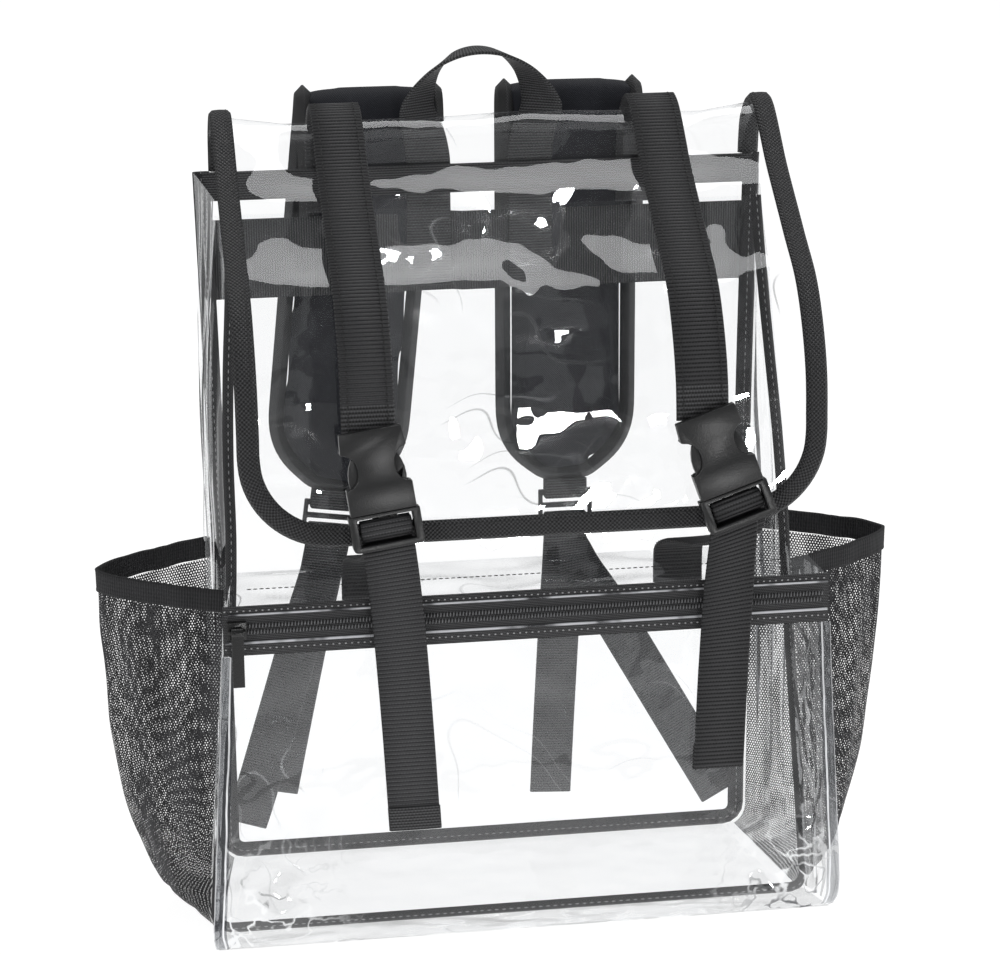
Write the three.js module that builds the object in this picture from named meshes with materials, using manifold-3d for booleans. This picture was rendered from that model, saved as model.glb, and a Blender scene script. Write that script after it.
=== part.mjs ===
// A clear backpack: PVC panels bound in black tape, a strapped flap, a zipped front pocket,
// two mesh side pockets, a carry handle and two padded shoulder straps.
// Millimetres. X runs to the right, Y to the back and Z up. The body's lower front is Y = 0.
import * as THREE from "three";
import { mergeVertices } from "three/addons/utils/BufferGeometryUtils.js";
import Module from "manifold-3d";

const wasm = await Module();
wasm.setup();

// Materials and clearances
const GAP = 0.3;
const PVC = 1.2;
const MESH = 1.2;
const WEBBING = 2;

// Body
const BODY_HALF = 157;
const BODY_DEPTH = 105;
const BODY_HEIGHT = 410;
const FRONT_HEIGHT = BODY_HEIGHT - 13;
const BODY_CORNER = 12;
const SIDE_BULGE = 5;
const SEAM_WIDTH = 6;
const SEAM_THICK = 3;

// Front pocket's box
const POCKET_HALF = BODY_HALF + 4.5;
const POCKET_DEPTH = 62;
const POCKET_HEIGHT = 211;

// Flap and its tape: the flap hangs down to a clearance above the front pocket.
const FLAP_HALF = BODY_HALF - 2;
const FLAP_SHIFT = 4;
const FLAP_REACH = 60;
const FLAP_RISE = 36;
const FLAP_CLEARANCE = 30;
const FLAP_DROP = BODY_HEIGHT - POCKET_HEIGHT - FLAP_CLEARANCE;
const FLAP_CORNER = 48;
const TAPE_WIDTH = 12;
const TAPE_THICK = 1;

// Straps and buckles on the flap
const STRAP_WIDTH = 28;
const STRAP_OFFSET = BODY_HALF * 0.56;
const STRAP_BACK = 26;
const BUCKLE_RISE = 62;
const BUCKLE_THICK = 10;
const BUCKLE_LEAN = 9;
const SOCKET_LENGTH = 43;
const SOCKET_HALF = 17.2;
const WAIST_HALF = 9.6;
const SHELL = 2.2;
const FRAME_HALF = 18.7;
const FRAME_LENGTH = 19;
const WINDOW_HALF = 14.5;
const WINDOW_LENGTH = 14;
const BAR_LENGTH = 2.8;
const BAR_THICK = 3.5;

// Zipper
const ZIP_TAPE = 27;
const ZIP_SET_BACK = 2;
const COIL_HEIGHT = 7;
const COIL_THICK = 2.5;
const COIL_DROP = 12;
const SLIDER_WIDTH = 10;
const SLIDER_HEIGHT = 9;
const SLIDER_THICK = 3.6;
const PULL_LENGTH = 30;
const PULL_WIDTH = 7;
const PULL_THICK = 1.6;

// Side pockets
const SIDE_POCKET_HEIGHT = 200;
const SIDE_POCKET_REACH = 61;
const SIDE_POCKET_ROUND = 1.5;
const ELASTIC_HEIGHT = 13;

// Back: rim band, wide band, handle, shoulder pads and lower webbing
const RIM_BAND_HEIGHT = 16;
const BACK_BAND_HEIGHT = 45;
const BACK_BAND_TOP = BODY_HEIGHT - 28;
const HANDLE_WIDTH = 25;
const HANDLE_LEG = 29;
const HANDLE_SPREAD = 35;
const HANDLE_TOP = BODY_HEIGHT + 64;
const PAD_WIDTH = 79;
const PAD_THICK = 8;
const PAD_TURN = 9.2;
const PAD_TOP = BODY_HEIGHT + 45;
const PAD_HANG = 239;
const PAD_END = PAD_TOP - PAD_HANG;
const LOOP_WIDTH = 25;
const LOCK_WIDTH = 32;
const LOCK_HEIGHT = 19;
const LOCK_THICK = 3;
const LOCK_BAR = 3;

// Body sections as shares: height of BODY_HEIGHT, front of BODY_DEPTH, widths of BODY_HALF.
const BODY_ROWS = [
  { height: 0.0, front: 0.0, frontWidth: 1.09, rearWidth: 0.995 },
  { height: 0.2, front: 0.0, frontWidth: 1.05, rearWidth: 0.997 },
  { height: 0.5, front: 0.0, frontWidth: 0.99, rearWidth: 1.0 },
  { height: 0.6, front: 0.08, frontWidth: 0.985, rearWidth: 1.003 },
  { height: 0.715, front: 0.23, frontWidth: 0.975, rearWidth: 1.006 },
  { height: 0.85, front: 0.335, frontWidth: 0.95, rearWidth: 1.012 },
  { height: 1.0, front: 0.45, frontWidth: 0.93, rearWidth: 1.02 },
];

// Flap side profile: forward is a share of the body's depth and the reach together, rise of
// FLAP_RISE above the rim and drop of FLAP_DROP below it.
const FLAP_ROWS = [
  { forward: 0.0, rise: 0.0, drop: 0.0 },
  { forward: 0.03, rise: 0.6, drop: 0.0 },
  { forward: 0.158, rise: 1.0, drop: 0.0 },
  { forward: 0.424, rise: 0.08, drop: 0.0 },
  { forward: 0.66, rise: 0.0, drop: 0.15 },
  { forward: 0.842, rise: 0.0, drop: 0.284 },
  { forward: 0.97, rise: 0.0, drop: 0.51 },
  { forward: 0.995, rise: 0.0, drop: 0.75 },
  { forward: 1.0, rise: 0.0, drop: 1.0 },
];

// Front pocket's face: height of POCKET_HEIGHT, out of POCKET_DEPTH, width of POCKET_HALF.
const POCKET_ROWS = [
  { height: 0.06, out: 0.82, width: 1.055 },
  { height: 0.075, out: 0.87, width: 1.06 },
  { height: 0.11, out: 0.94, width: 1.065 },
  { height: 0.2, out: 0.99, width: 1.06 },
  { height: 0.45, out: 1.0, width: 1.04 },
  { height: 0.7, out: 1.0, width: 1.02 },
  { height: 1.0, out: 1.0, width: 1.0 },
];

// Mesh pocket's belly: height of SIDE_POCKET_HEIGHT, out of SIDE_POCKET_REACH.
const BELLY_ROWS = [
  { height: 0.0045, out: 0.0 },
  { height: 0.008, out: 0.09 },
  { height: 0.015, out: 0.21 },
  { height: 0.045, out: 0.42 },
  { height: 0.1, out: 0.55 },
  { height: 0.2, out: 0.67 },
  { height: 0.325, out: 0.79 },
  { height: 0.6, out: 0.94 },
  { height: 1.0, out: 1.0 },
];

// What differs from left to right, as the bag was set down. Places across are shares of
// BODY_HALF, the strap's tail ends at a share of POCKET_HEIGHT and the webbing's at a share of
// BODY_HEIGHT. Turns are degrees and the slip is in millimetres.
const SIDES = [
  {
    name: "left",
    side: -1,
    buckleSpin: 8,
    anchor: -0.51,
    tailSlip: 0,
    tail: -0.408,
    tailEnd: 0.398,
    pad: -0.382,
    padEnd: -0.535,
    padTilt: 8,
    webTail: -0.777,
    webTailEnd: 0.068,
  },
  {
    name: "right",
    side: 1,
    buckleSpin: 19,
    anchor: 0.586,
    tailSlip: -6,
    tail: 0.643,
    tailEnd: 0.507,
    pad: 0.344,
    padEnd: 0.338,
    padTilt: 0,
    webTail: 0.28,
    webTailEnd: 0.039,
  },
];

const pvc = new THREE.MeshStandardMaterial({
  color: 0xe8eef2,
  roughness: 0.08,
  metalness: 0,
  transparent: true,
  opacity: 0.35,
});
const webbing = new THREE.MeshStandardMaterial({ color: 0x17181a, roughness: 0.85, metalness: 0 });
const padCloth = new THREE.MeshStandardMaterial({ color: 0x1c1d20, roughness: 0.9, metalness: 0 });
const meshCloth = new THREE.MeshStandardMaterial({ color: 0x202124, roughness: 0.95, metalness: 0 });
const plastic = new THREE.MeshStandardMaterial({ color: 0x1b1c1e, roughness: 0.5, metalness: 0 });
const coil = new THREE.MeshStandardMaterial({ color: 0x2a2b2e, roughness: 0.4, metalness: 0 });

const group = new THREE.Group();
const vec = (x, y, z) => new THREE.Vector3(x, y, z);
const lerp = THREE.MathUtils.lerp;
const radians = THREE.MathUtils.degToRad;

function add(name, geometry, material, parent = group) {
  const shape = geometry.index ? geometry.toNonIndexed() : geometry;
  shape.computeVertexNormals();
  const mesh = new THREE.Mesh(shape, material);
  mesh.name = name;
  parent.add(mesh);
  return mesh;
}

// One column of a table at a place in another column, eased through the rows between.
function read(rows, by, column, at) {
  const last = rows.length - 1;
  const slope = (i) => {
    const a = rows[Math.max(i - 1, 0)];
    const b = rows[Math.min(i + 1, last)];
    const bends = (rows[i][column] - a[column]) * (b[column] - rows[i][column]) <= 0;
    return bends && i > 0 && i < last ? 0 : (b[column] - a[column]) / (b[by] - a[by]);
  };
  if (at <= rows[0][by]) return rows[0][column];
  if (at >= rows[last][by]) return rows[last][column];
  const i = rows.findIndex((row) => row[by] > at) - 1;
  const span = rows[i + 1][by] - rows[i][by];
  const t = (at - rows[i][by]) / span;
  const start = rows[i][column];
  const end = rows[i + 1][column];
  const bend = t * t * (3 - 2 * t);
  const leave = slope(i) * span * t * (1 - t) * (1 - t);
  const arrive = slope(i + 1) * span * t * t * (t - 1);
  return lerp(start, end, bend) + leave + arrive;
}

// A wall on a grid of points: a box bent onto them. Its thickness may vary with the place.
function sheet(points, thickness) {
  const rows = points.length - 1;
  const columns = points[0].length - 1;
  const box = new THREE.BoxGeometry(1, 1, 1, rows, columns, 1);
  const position = box.getAttribute("position");
  for (let k = 0; k < position.count; k++) {
    const i = Math.round((position.getX(k) + 0.5) * rows);
    const j = Math.round((position.getY(k) + 0.5) * columns);
    const along = points[Math.min(i + 1, rows)][j].clone();
    along.sub(points[Math.max(i - 1, 0)][j]);
    const across = points[i][Math.min(j + 1, columns)].clone();
    across.sub(points[i][Math.max(j - 1, 0)]);
    const normal = along.cross(across).normalize();
    const wall = typeof thickness === "function" ? thickness(i, j) : thickness;
    const place = points[i][j].clone().addScaledVector(normal, position.getZ(k) * wall);
    position.setXYZ(k, place.x, place.y, place.z);
  }
  return box;
}

// A grid of points from a function of two shares.
function grid(rows, columns, place) {
  const points = [];
  for (let i = 0; i <= rows; i++) {
    points.push([]);
    for (let j = 0; j <= columns; j++) points[i].push(place(i / rows, j / columns));
  }
  return points;
}

// A flat strip through stations, each a place and a direction across the strip.
function ribbon(stations, width, thickness) {
  const points = stations.map(({ at, across }) => {
    const half = across.clone().normalize().multiplyScalar(width / 2);
    return [at.clone().sub(half), at.clone().add(half)];
  });
  return sheet(points, thickness);
}

// Smooth stations through a few chosen ones.
function eased(stations, perSpan) {
  const count = (stations.length - 1) * perSpan;
  const path = new THREE.CatmullRomCurve3(stations.map((s) => s.at)).getPoints(count);
  return path.map((at, i) => {
    const from = Math.min(Math.floor(i / perSpan), stations.length - 2);
    const across = stations[from].across.clone();
    return { at, across: across.lerp(stations[from + 1].across, i / perSpan - from) };
  });
}

// A section swept through frames, each a place and the directions of the section's x and y.
function sweep(section, frames) {
  const steps = frames.length - 1;
  const body = new THREE.ExtrudeGeometry(section, { depth: 1, steps, bevelEnabled: false });
  const position = body.getAttribute("position");
  for (let k = 0; k < position.count; k++) {
    const frame = frames[Math.round(position.getZ(k) * steps)];
    const place = frame.at.clone();
    place.addScaledVector(frame.side, position.getX(k));
    place.addScaledVector(frame.up, position.getY(k));
    position.setXYZ(k, place.x, place.y, place.z);
  }
  return body;
}

function outline(points) {
  return new THREE.Shape(points.map(([x, y]) => new THREE.Vector2(x, y)));
}

// Frames for a path of places with a given sideways direction at each.
function framesOf(path) {
  return path.map((station, i) => {
    const before = path[Math.max(i - 1, 0)].at;
    const after = path[Math.min(i + 1, path.length - 1)].at;
    const tangent = after.clone().sub(before).normalize();
    const side = station.side.clone().addScaledVector(tangent, -station.side.dot(tangent));
    side.normalize();
    return { at: station.at, side, up: tangent.clone().cross(side) };
  });
}

function solid(geometry) {
  const bare = geometry.index ? geometry.toNonIndexed() : geometry.clone();
  bare.deleteAttribute("normal");
  bare.deleteAttribute("uv");
  const merged = mergeVertices(bare);
  return new wasm.Manifold(
    new wasm.Mesh({
      numProp: 3,
      vertProperties: merged.getAttribute("position").array,
      triVerts: new Uint32Array(merged.index.array),
    }),
  );
}

function geometryOf(manifold) {
  const result = manifold.getMesh();
  const geometry = new THREE.BufferGeometry();
  const position = new THREE.BufferAttribute(new Float32Array(result.vertProperties), 3);
  geometry.setAttribute("position", position);
  geometry.setIndex(new THREE.BufferAttribute(new Uint32Array(result.triVerts), 1));
  return geometry;
}

// A block between two corners.
function block(low, high) {
  const size = high.map((value, i) => value - low[i]);
  const middle = high.map((value, i) => (value + low[i]) / 2);
  return solid(new THREE.BoxGeometry(...size).translate(...middle));
}

// A plate from an outline, from one height to another.
function plate(shape, low, high) {
  const options = { depth: high - low, bevelEnabled: false, curveSegments: 4 };
  return solid(new THREE.ExtrudeGeometry(shape, options).translate(0, 0, low));
}

// The body's shape at a height

const frontY = (z) => BODY_DEPTH * read(BODY_ROWS, "height", "front", z / BODY_HEIGHT);
const frontHalf = (z) => BODY_HALF * read(BODY_ROWS, "height", "frontWidth", z / BODY_HEIGHT);
const rearHalf = (z) => BODY_HALF * read(BODY_ROWS, "height", "rearWidth", z / BODY_HEIGHT);
const FLOOR = PVC / 2;
const PANEL_INSET = SEAM_WIDTH - PVC / 2 + GAP;
const SIDE_START = SEAM_THICK / 2 + GAP;

// Half the body's width at a height, at a share of the way from its front to its back.
function sideHalf(z, share) {
  const bulge = SIDE_BULGE * Math.sin(Math.PI * share) * Math.sin((Math.PI * z) / BODY_HEIGHT);
  return lerp(frontHalf(z), rearHalf(z), share) + bulge;
}

// Stations down one side and round the lower corner: the height, how far the corner pulls
// the line in, and the direction away from the body.
function downSide(top, floor, radius) {
  const straight = 9;
  const turn = 4;
  const rows = [];
  for (let i = 0; i <= straight; i++) {
    rows.push({ z: lerp(top, floor + radius, i / straight), pull: 0, out: [1, 0] });
  }
  for (let i = 1; i <= turn; i++) {
    const angle = ((Math.PI / 2) * i) / turn;
    const [c, s] = [Math.cos(angle), Math.sin(angle)];
    rows.push({ z: floor + radius * (1 - s), pull: radius * (1 - c), out: [c, -s] });
  }
  return rows;
}

// The front and back panels have rounded lower corners inside the seam.
function facePanel(top, half, depth) {
  const rows = downSide(top, FLOOR + PANEL_INSET, BODY_CORNER - PANEL_INSET);
  const points = rows.map(({ z, pull }) =>
    grid(0, 8, (_, share) => {
      const reach = half(z) - PANEL_INSET - pull;
      return vec(lerp(-reach, reach, share), depth(z), z);
    })[0],
  );
  return sheet(points, PVC);
}

function makePanels() {
  add("front_panel", facePanel(FRONT_HEIGHT, frontHalf, frontY), pvc);
  add("back_panel", facePanel(BODY_HEIGHT, rearHalf, () => BODY_DEPTH), pvc);
  const rows = downSide(BODY_HEIGHT, FLOOR, BODY_CORNER);
  for (const { name, side } of SIDES) {
    const points = rows.map(({ z, pull }) =>
      grid(0, 8, (_, share) => {
        const drop = Math.max(z - FLOOR - BODY_CORNER, 0) / (BODY_HEIGHT - FLOOR - BODY_CORNER);
        const height = z - (1 - share) * drop * (BODY_HEIGHT - FRONT_HEIGHT);
        const y = lerp(frontY(height) + SIDE_START, BODY_DEPTH - SIDE_START, share);
        return vec(side * (sideHalf(height, share) - pull), y, height);
      })[0],
    );
    add(`side_panel_${name}`, sheet(points, PVC), pvc);
  }
  const bottom = grid(2, 2, (u, v) => {
    const half = sideHalf(FLOOR, v) - BODY_CORNER - GAP;
    return vec(lerp(-half, half, u), lerp(SIDE_START, BODY_DEPTH - SIDE_START, v), FLOOR);
  });
  add("bottom_panel", sheet(bottom, PVC), pvc);
}

// A seam tape runs down one side, under the bottom and up the other side.
function seam(top, half, depth) {
  const rows = downSide(top, FLOOR, BODY_CORNER);
  const shift = (SEAM_WIDTH - PVC) / 2;
  const station = (row, side) => {
    const [outX, outZ] = row.out;
    const x = side * (half(row.z) - row.pull - shift * outX);
    return {
      at: vec(x, depth(row.z), row.z - shift * outZ),
      side: vec(side * outX, 0, outZ),
    };
  };
  const left = rows.map((row) => station(row, -1));
  const right = rows.map((row) => station(row, 1)).reverse();
  const [w, t] = [SEAM_WIDTH / 2, SEAM_THICK / 2];
  const section = outline([
    [-w, -t],
    [w, -t],
    [w, t],
    [-w, t],
  ]);
  return sweep(section, framesOf([...left, ...right]));
}

function makeSeams() {
  add("front_edge_binding", seam(FRONT_HEIGHT, frontHalf, frontY), webbing);
  add("back_edge_binding", seam(BODY_HEIGHT, rearHalf, () => BODY_DEPTH), webbing);
}

// The flap: a sheet that is straight across and follows one side profile

const RIM = BODY_HEIGHT + GAP;
const flapCurve = new THREE.CatmullRomCurve3(
  FLAP_ROWS.map(({ forward, rise, drop }) => {
    const y = BODY_DEPTH - forward * (BODY_DEPTH + FLAP_REACH);
    return vec(0, y, RIM + rise * FLAP_RISE - drop * FLAP_DROP);
  }),
);
flapCurve.arcLengthDivisions = 400;
const FLAP_LENGTH = flapCurve.getLength();

// The flap's line at a distance from the rim: its place, its direction and its outer normal.
// Below the rim the line goes on down the back panel.
function flapAt(distance) {
  const at = flapCurve.getPointAt(THREE.MathUtils.clamp(distance / FLAP_LENGTH, 0, 1));
  const direction = flapCurve.getTangentAt(THREE.MathUtils.clamp(distance / FLAP_LENGTH, 0, 1));
  if (distance < 0) {
    at.z += distance;
    direction.set(0, 0, 1);
  }
  return { at, direction, normal: vec(1, 0, 0).cross(direction).negate() };
}

// Distances along the flap, close together where its corners are round.
function flapRows() {
  const straight = 28;
  const turn = 6;
  const rows = [];
  for (let i = 0; i <= straight; i++) {
    rows.push({ distance: ((FLAP_LENGTH - FLAP_CORNER) * i) / straight, pull: 0, turn: 0 });
  }
  for (let i = 1; i <= turn; i++) {
    const angle = ((Math.PI / 2) * i) / turn;
    const distance = FLAP_LENGTH - FLAP_CORNER * (1 - Math.sin(angle));
    rows.push({ distance, pull: FLAP_CORNER * (1 - Math.cos(angle)), turn: angle });
  }
  return rows;
}

function makeFlap() {
  const rows = flapRows();
  const columns = 6;
  const points = rows.map(({ distance, pull }) =>
    grid(0, columns, (_, share) => {
      const { at } = flapAt(distance);
      at.x = FLAP_SHIFT + lerp(-1, 1, share) * (FLAP_HALF - pull);
      return at;
    })[0],
  );
  add("flap", sheet(points, PVC), pvc);

  const station = ({ distance, pull, turn }, side) => {
    const { at, direction } = flapAt(distance);
    at.x = FLAP_SHIFT + side * (FLAP_HALF - pull);
    const inward = vec(-side * Math.cos(turn), 0, 0).addScaledVector(direction, -Math.sin(turn));
    return { at, side: inward };
  };
  const left = rows.map((row) => station(row, -1));
  const right = rows.map((row) => station(row, 1)).reverse();
  const slot = PVC / 2 + GAP;
  const outer = slot + TAPE_THICK;
  const section = outline([
    [-GAP - TAPE_THICK, -outer],
    [TAPE_WIDTH - TAPE_THICK, -outer],
    [TAPE_WIDTH - TAPE_THICK, -slot],
    [-GAP, -slot],
    [-GAP, slot],
    [TAPE_WIDTH - TAPE_THICK, slot],
    [TAPE_WIDTH - TAPE_THICK, outer],
    [-GAP - TAPE_THICK, outer],
  ]);
  add("flap_binding", sweep(section, framesOf([...left, ...right])), webbing);
}

// Buckles, in their own frame: x across, y up from the strap end, z out from the flap

function socketShape() {
  const waist = SOCKET_LENGTH / 2;
  const shoulder = SOCKET_LENGTH * 0.24;
  const hip = SOCKET_LENGTH * 0.68;
  const shape = new THREE.Shape();
  shape.moveTo(-SOCKET_HALF + 1, 0);
  shape.lineTo(SOCKET_HALF - 1, 0);
  shape.lineTo(SOCKET_HALF, -shoulder);
  shape.quadraticCurveTo(WAIST_HALF, -shoulder - 2, WAIST_HALF, -waist + 2);
  shape.quadraticCurveTo(WAIST_HALF, -hip + 1, SOCKET_HALF, -hip);
  shape.lineTo(SOCKET_HALF, -SOCKET_LENGTH);
  shape.lineTo(-SOCKET_HALF, -SOCKET_LENGTH);
  shape.lineTo(-SOCKET_HALF, -hip);
  shape.quadraticCurveTo(-WAIST_HALF, -hip + 1, -WAIST_HALF, -waist + 2);
  shape.quadraticCurveTo(-WAIST_HALF, -shoulder - 2, -SOCKET_HALF, -shoulder);
  return shape;
}

const PRONG_TOP = 13;
const PRONG_HALF = SOCKET_HALF - SHELL - GAP;
const PRONG_LOW = SHELL + GAP;
const PRONG_HIGH = BUCKLE_THICK - SHELL - GAP;
const STRAP_TUCK = 9;
const STRAP_RECESS = 3.4;
const CLIP_TOP = -SOCKET_LENGTH - GAP;
const CLIP_LOW = CLIP_TOP - FRAME_LENGTH;
const WINDOW_TOP = CLIP_TOP - (FRAME_LENGTH - WINDOW_LENGTH) * 0.4;
const WINDOW_LOW = WINDOW_TOP - WINDOW_LENGTH;
const BAR_LIFT = 1.5;
const BAR_Y = (WINDOW_TOP + WINDOW_LOW) / 2;

function socketSolid() {
  const inside = PRONG_HALF + GAP;
  const shell = plate(socketShape(), 0, BUCKLE_THICK);
  const hollow = block(
    [-inside, -SOCKET_LENGTH - 1, SHELL],
    [inside, -PRONG_TOP + GAP, BUCKLE_THICK - SHELL],
  );
  const recess = block([-SOCKET_HALF - 1, -STRAP_TUCK, -1], [SOCKET_HALF + 1, 1, STRAP_RECESS]);
  return shell.subtract(hollow).subtract(recess);
}

// One prong of the clip, bent out where the fingers press it.
function prongShape(side) {
  const shape = new THREE.Shape();
  shape.moveTo(side * 6, -SOCKET_LENGTH - 2);
  shape.lineTo(side * PRONG_HALF, -SOCKET_LENGTH - 2);
  shape.lineTo(side * PRONG_HALF, -SOCKET_LENGTH * 0.68);
  shape.quadraticCurveTo(side * (PRONG_HALF + 1.5), -SOCKET_LENGTH / 2, side * 12, -PRONG_TOP - 1);
  shape.lineTo(side * 9, -PRONG_TOP);
  shape.lineTo(side * 8.5, -SOCKET_LENGTH + 6);
  return shape;
}

function clipSolid() {
  const corner = 3;
  const shape = new THREE.Shape();
  shape.moveTo(-FRAME_HALF, CLIP_TOP);
  shape.lineTo(-FRAME_HALF, CLIP_LOW + corner);
  shape.quadraticCurveTo(-FRAME_HALF, CLIP_LOW, -FRAME_HALF + corner, CLIP_LOW);
  shape.lineTo(FRAME_HALF - corner, CLIP_LOW);
  shape.quadraticCurveTo(FRAME_HALF, CLIP_LOW, FRAME_HALF, CLIP_LOW + corner);
  shape.lineTo(FRAME_HALF, CLIP_TOP);
  const hole = block([-WINDOW_HALF, WINDOW_LOW, -1], [WINDOW_HALF, WINDOW_TOP, BUCKLE_THICK + 1]);
  const bar = block(
    [-WINDOW_HALF - 1, BAR_Y - BAR_LENGTH / 2, BAR_LIFT],
    [WINDOW_HALF + 1, BAR_Y + BAR_LENGTH / 2, BAR_LIFT + BAR_THICK],
  );
  const root = -SOCKET_LENGTH - 2;
  const tongue = block([-7, root, PRONG_LOW], [7, root + 8, PRONG_HIGH]);
  const guide = block([-2, root, PRONG_LOW], [2, -PRONG_TOP - 4, PRONG_HIGH]);
  return plate(shape, 0, BUCKLE_THICK - 1)
    .subtract(hole)
    .add(bar)
    .add(tongue)
    .add(guide)
    .add(plate(prongShape(-1), PRONG_LOW, PRONG_HIGH))
    .add(plate(prongShape(1), PRONG_LOW, PRONG_HIGH));
}

const strapX = (side) => FLAP_SHIFT + side * STRAP_OFFSET;
const STRAP_LIFT = PVC / 2 + GAP + WEBBING / 2;

function makeStraps() {
  for (const row of SIDES) {
    const corner = (STRAP_WIDTH / 2) * Math.tan(radians(row.buckleSpin));
    const end = FLAP_LENGTH - BUCKLE_RISE + STRAP_TUCK - GAP - corner;
    const onFlap = flapRows().map(({ distance }) => distance).filter((d) => d < end);
    const stations = [-STRAP_BACK, ...onFlap, end].map((distance) => {
      const { at, normal } = flapAt(distance);
      at.addScaledVector(normal, STRAP_LIFT);
      at.x = strapX(row.side);
      return { at, across: vec(1, 0, 0) };
    });
    add(`flap_strap_${row.name}`, ribbon(stations, STRAP_WIDTH, WEBBING), webbing);
  }
}

// Where a buckle sits: on its strap's end, leaning out and turned as it hangs.
function buckleFrame(row) {
  const frame = new THREE.Group();
  const { at, normal } = flapAt(FLAP_LENGTH - BUCKLE_RISE);
  frame.position.copy(at).addScaledVector(normal, PVC / 2 + GAP);
  frame.position.x = strapX(row.side);
  frame.rotation.order = "YXZ";
  frame.rotation.x = radians(90 - BUCKLE_LEAN);
  frame.rotation.y = radians(-row.buckleSpin);
  frame.updateMatrix();
  return frame;
}

// The adjusting strap: sewn to the body under the pocket's seam, up behind the clip, through
// its window over the bar, and down again as a free tail.
function adjustingStrap(row, frame) {
  const across = vec(1, 0, 0).transformDirection(frame.matrix);
  const flat = vec(1, 0, 0);
  const half = across.clone().lerp(flat, 0.5);
  const inClip = (y, z, x = 0) => ({ at: vec(x, y, z).applyMatrix4(frame.matrix), across });

  // Depths in the clip's frame: the tail behind it, the strap behind the tail, and the turn
  // over the bar. The turn's two legs pass the bar at the same distance.
  const tail = -GAP - WEBBING / 2 - 0.2;
  const rising = tail - WEBBING - 0.5;
  const over = BAR_LIFT + BAR_THICK + GAP + WEBBING / 2;
  const leg = BAR_LENGTH / 2 + WEBBING / 2 + 1.6;
  const round = 2;

  const body = -PVC / 2 - GAP - WEBBING / 2;
  const edge = RIM - FLAP_DROP;
  const fromX = BODY_HALF * row.anchor;
  const tailX = BODY_HALF * row.tail;
  const tailZ = POCKET_HEIGHT * row.tailEnd;
  const entry = inClip(CLIP_LOW - 2, rising);
  const tailTop = inClip(CLIP_LOW - 4, tail, row.tailSlip);
  const towards = (share, y, z) => vec(lerp(fromX, entry.at.x, share), y, z);
  const down = (share, drop, y) => {
    return vec(lerp(tailTop.at.x, tailX, share), y, lerp(tailTop.at.z, tailZ, drop));
  };
  const tailY = tailTop.at.y;
  const rows = [
    { at: vec(fromX, body, POCKET_HEIGHT - 19), across: flat },
    { at: vec(fromX, body, POCKET_HEIGHT - 6), across: flat },
    { at: vec(fromX, body - 3.6, POCKET_HEIGHT + 3), across: flat },
    { at: towards(0.2, body - 14, POCKET_HEIGHT + 9), across: flat },
    { at: towards(0.6, lerp(body, entry.at.y, 0.65), edge - 13), across: half },
    { at: towards(0.9, entry.at.y + 2.5, edge - 5), across: half },
    entry,
    inClip(CLIP_LOW + 7, rising),
    inClip(BAR_Y + 0.6, rising + 0.9),
    inClip(BAR_Y + leg, 0.4),
    inClip(BAR_Y + leg, over - round),
    inClip(BAR_Y + leg - round, over),
    inClip(BAR_Y, over),
    inClip(BAR_Y - leg + round, over),
    inClip(BAR_Y - leg, over - round),
    inClip(BAR_Y - leg, 1.2),
    inClip(WINDOW_LOW + 1.3, tail + 0.1),
    inClip(CLIP_LOW + 1, tail, row.tailSlip * 0.6),
    tailTop,
    { at: down(0.3, 0.2, tailY), across: half },
    { at: down(0.7, 0.6, tailY + 0.3), across: flat },
    { at: vec(tailX, tailY, tailZ), across: flat },
  ];
  return ribbon(eased(rows, 3), STRAP_WIDTH - 0.5, WEBBING);
}

function makeBuckles() {
  for (const row of SIDES) {
    const frame = buckleFrame(row);
    group.add(frame);
    add(`buckle_socket_${row.name}`, geometryOf(socketSolid()), plastic, frame);
    add(`buckle_clip_${row.name}`, geometryOf(clipSolid()), plastic, frame);
    add(`adjusting_strap_${row.name}`, adjustingStrap(row, frame), webbing);
  }
}

// Front pocket: a clear box on the body's lower front with a zipper near its top

const pocketHalf = (z) => POCKET_HALF * read(POCKET_ROWS, "height", "width", z / POCKET_HEIGHT);
const pocketOut = (z) => -POCKET_DEPTH * read(POCKET_ROWS, "height", "out", z / POCKET_HEIGHT);
const ZIP_LOW = POCKET_HEIGHT - ZIP_TAPE;
const TAPE_Y = -POCKET_DEPTH + ZIP_SET_BACK;
const COIL_Z = POCKET_HEIGHT - COIL_DROP;
const POCKET_FLOOR = POCKET_ROWS[0].height * POCKET_HEIGHT;
const SEAM_FRONT = -SEAM_THICK / 2 - GAP;

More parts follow.
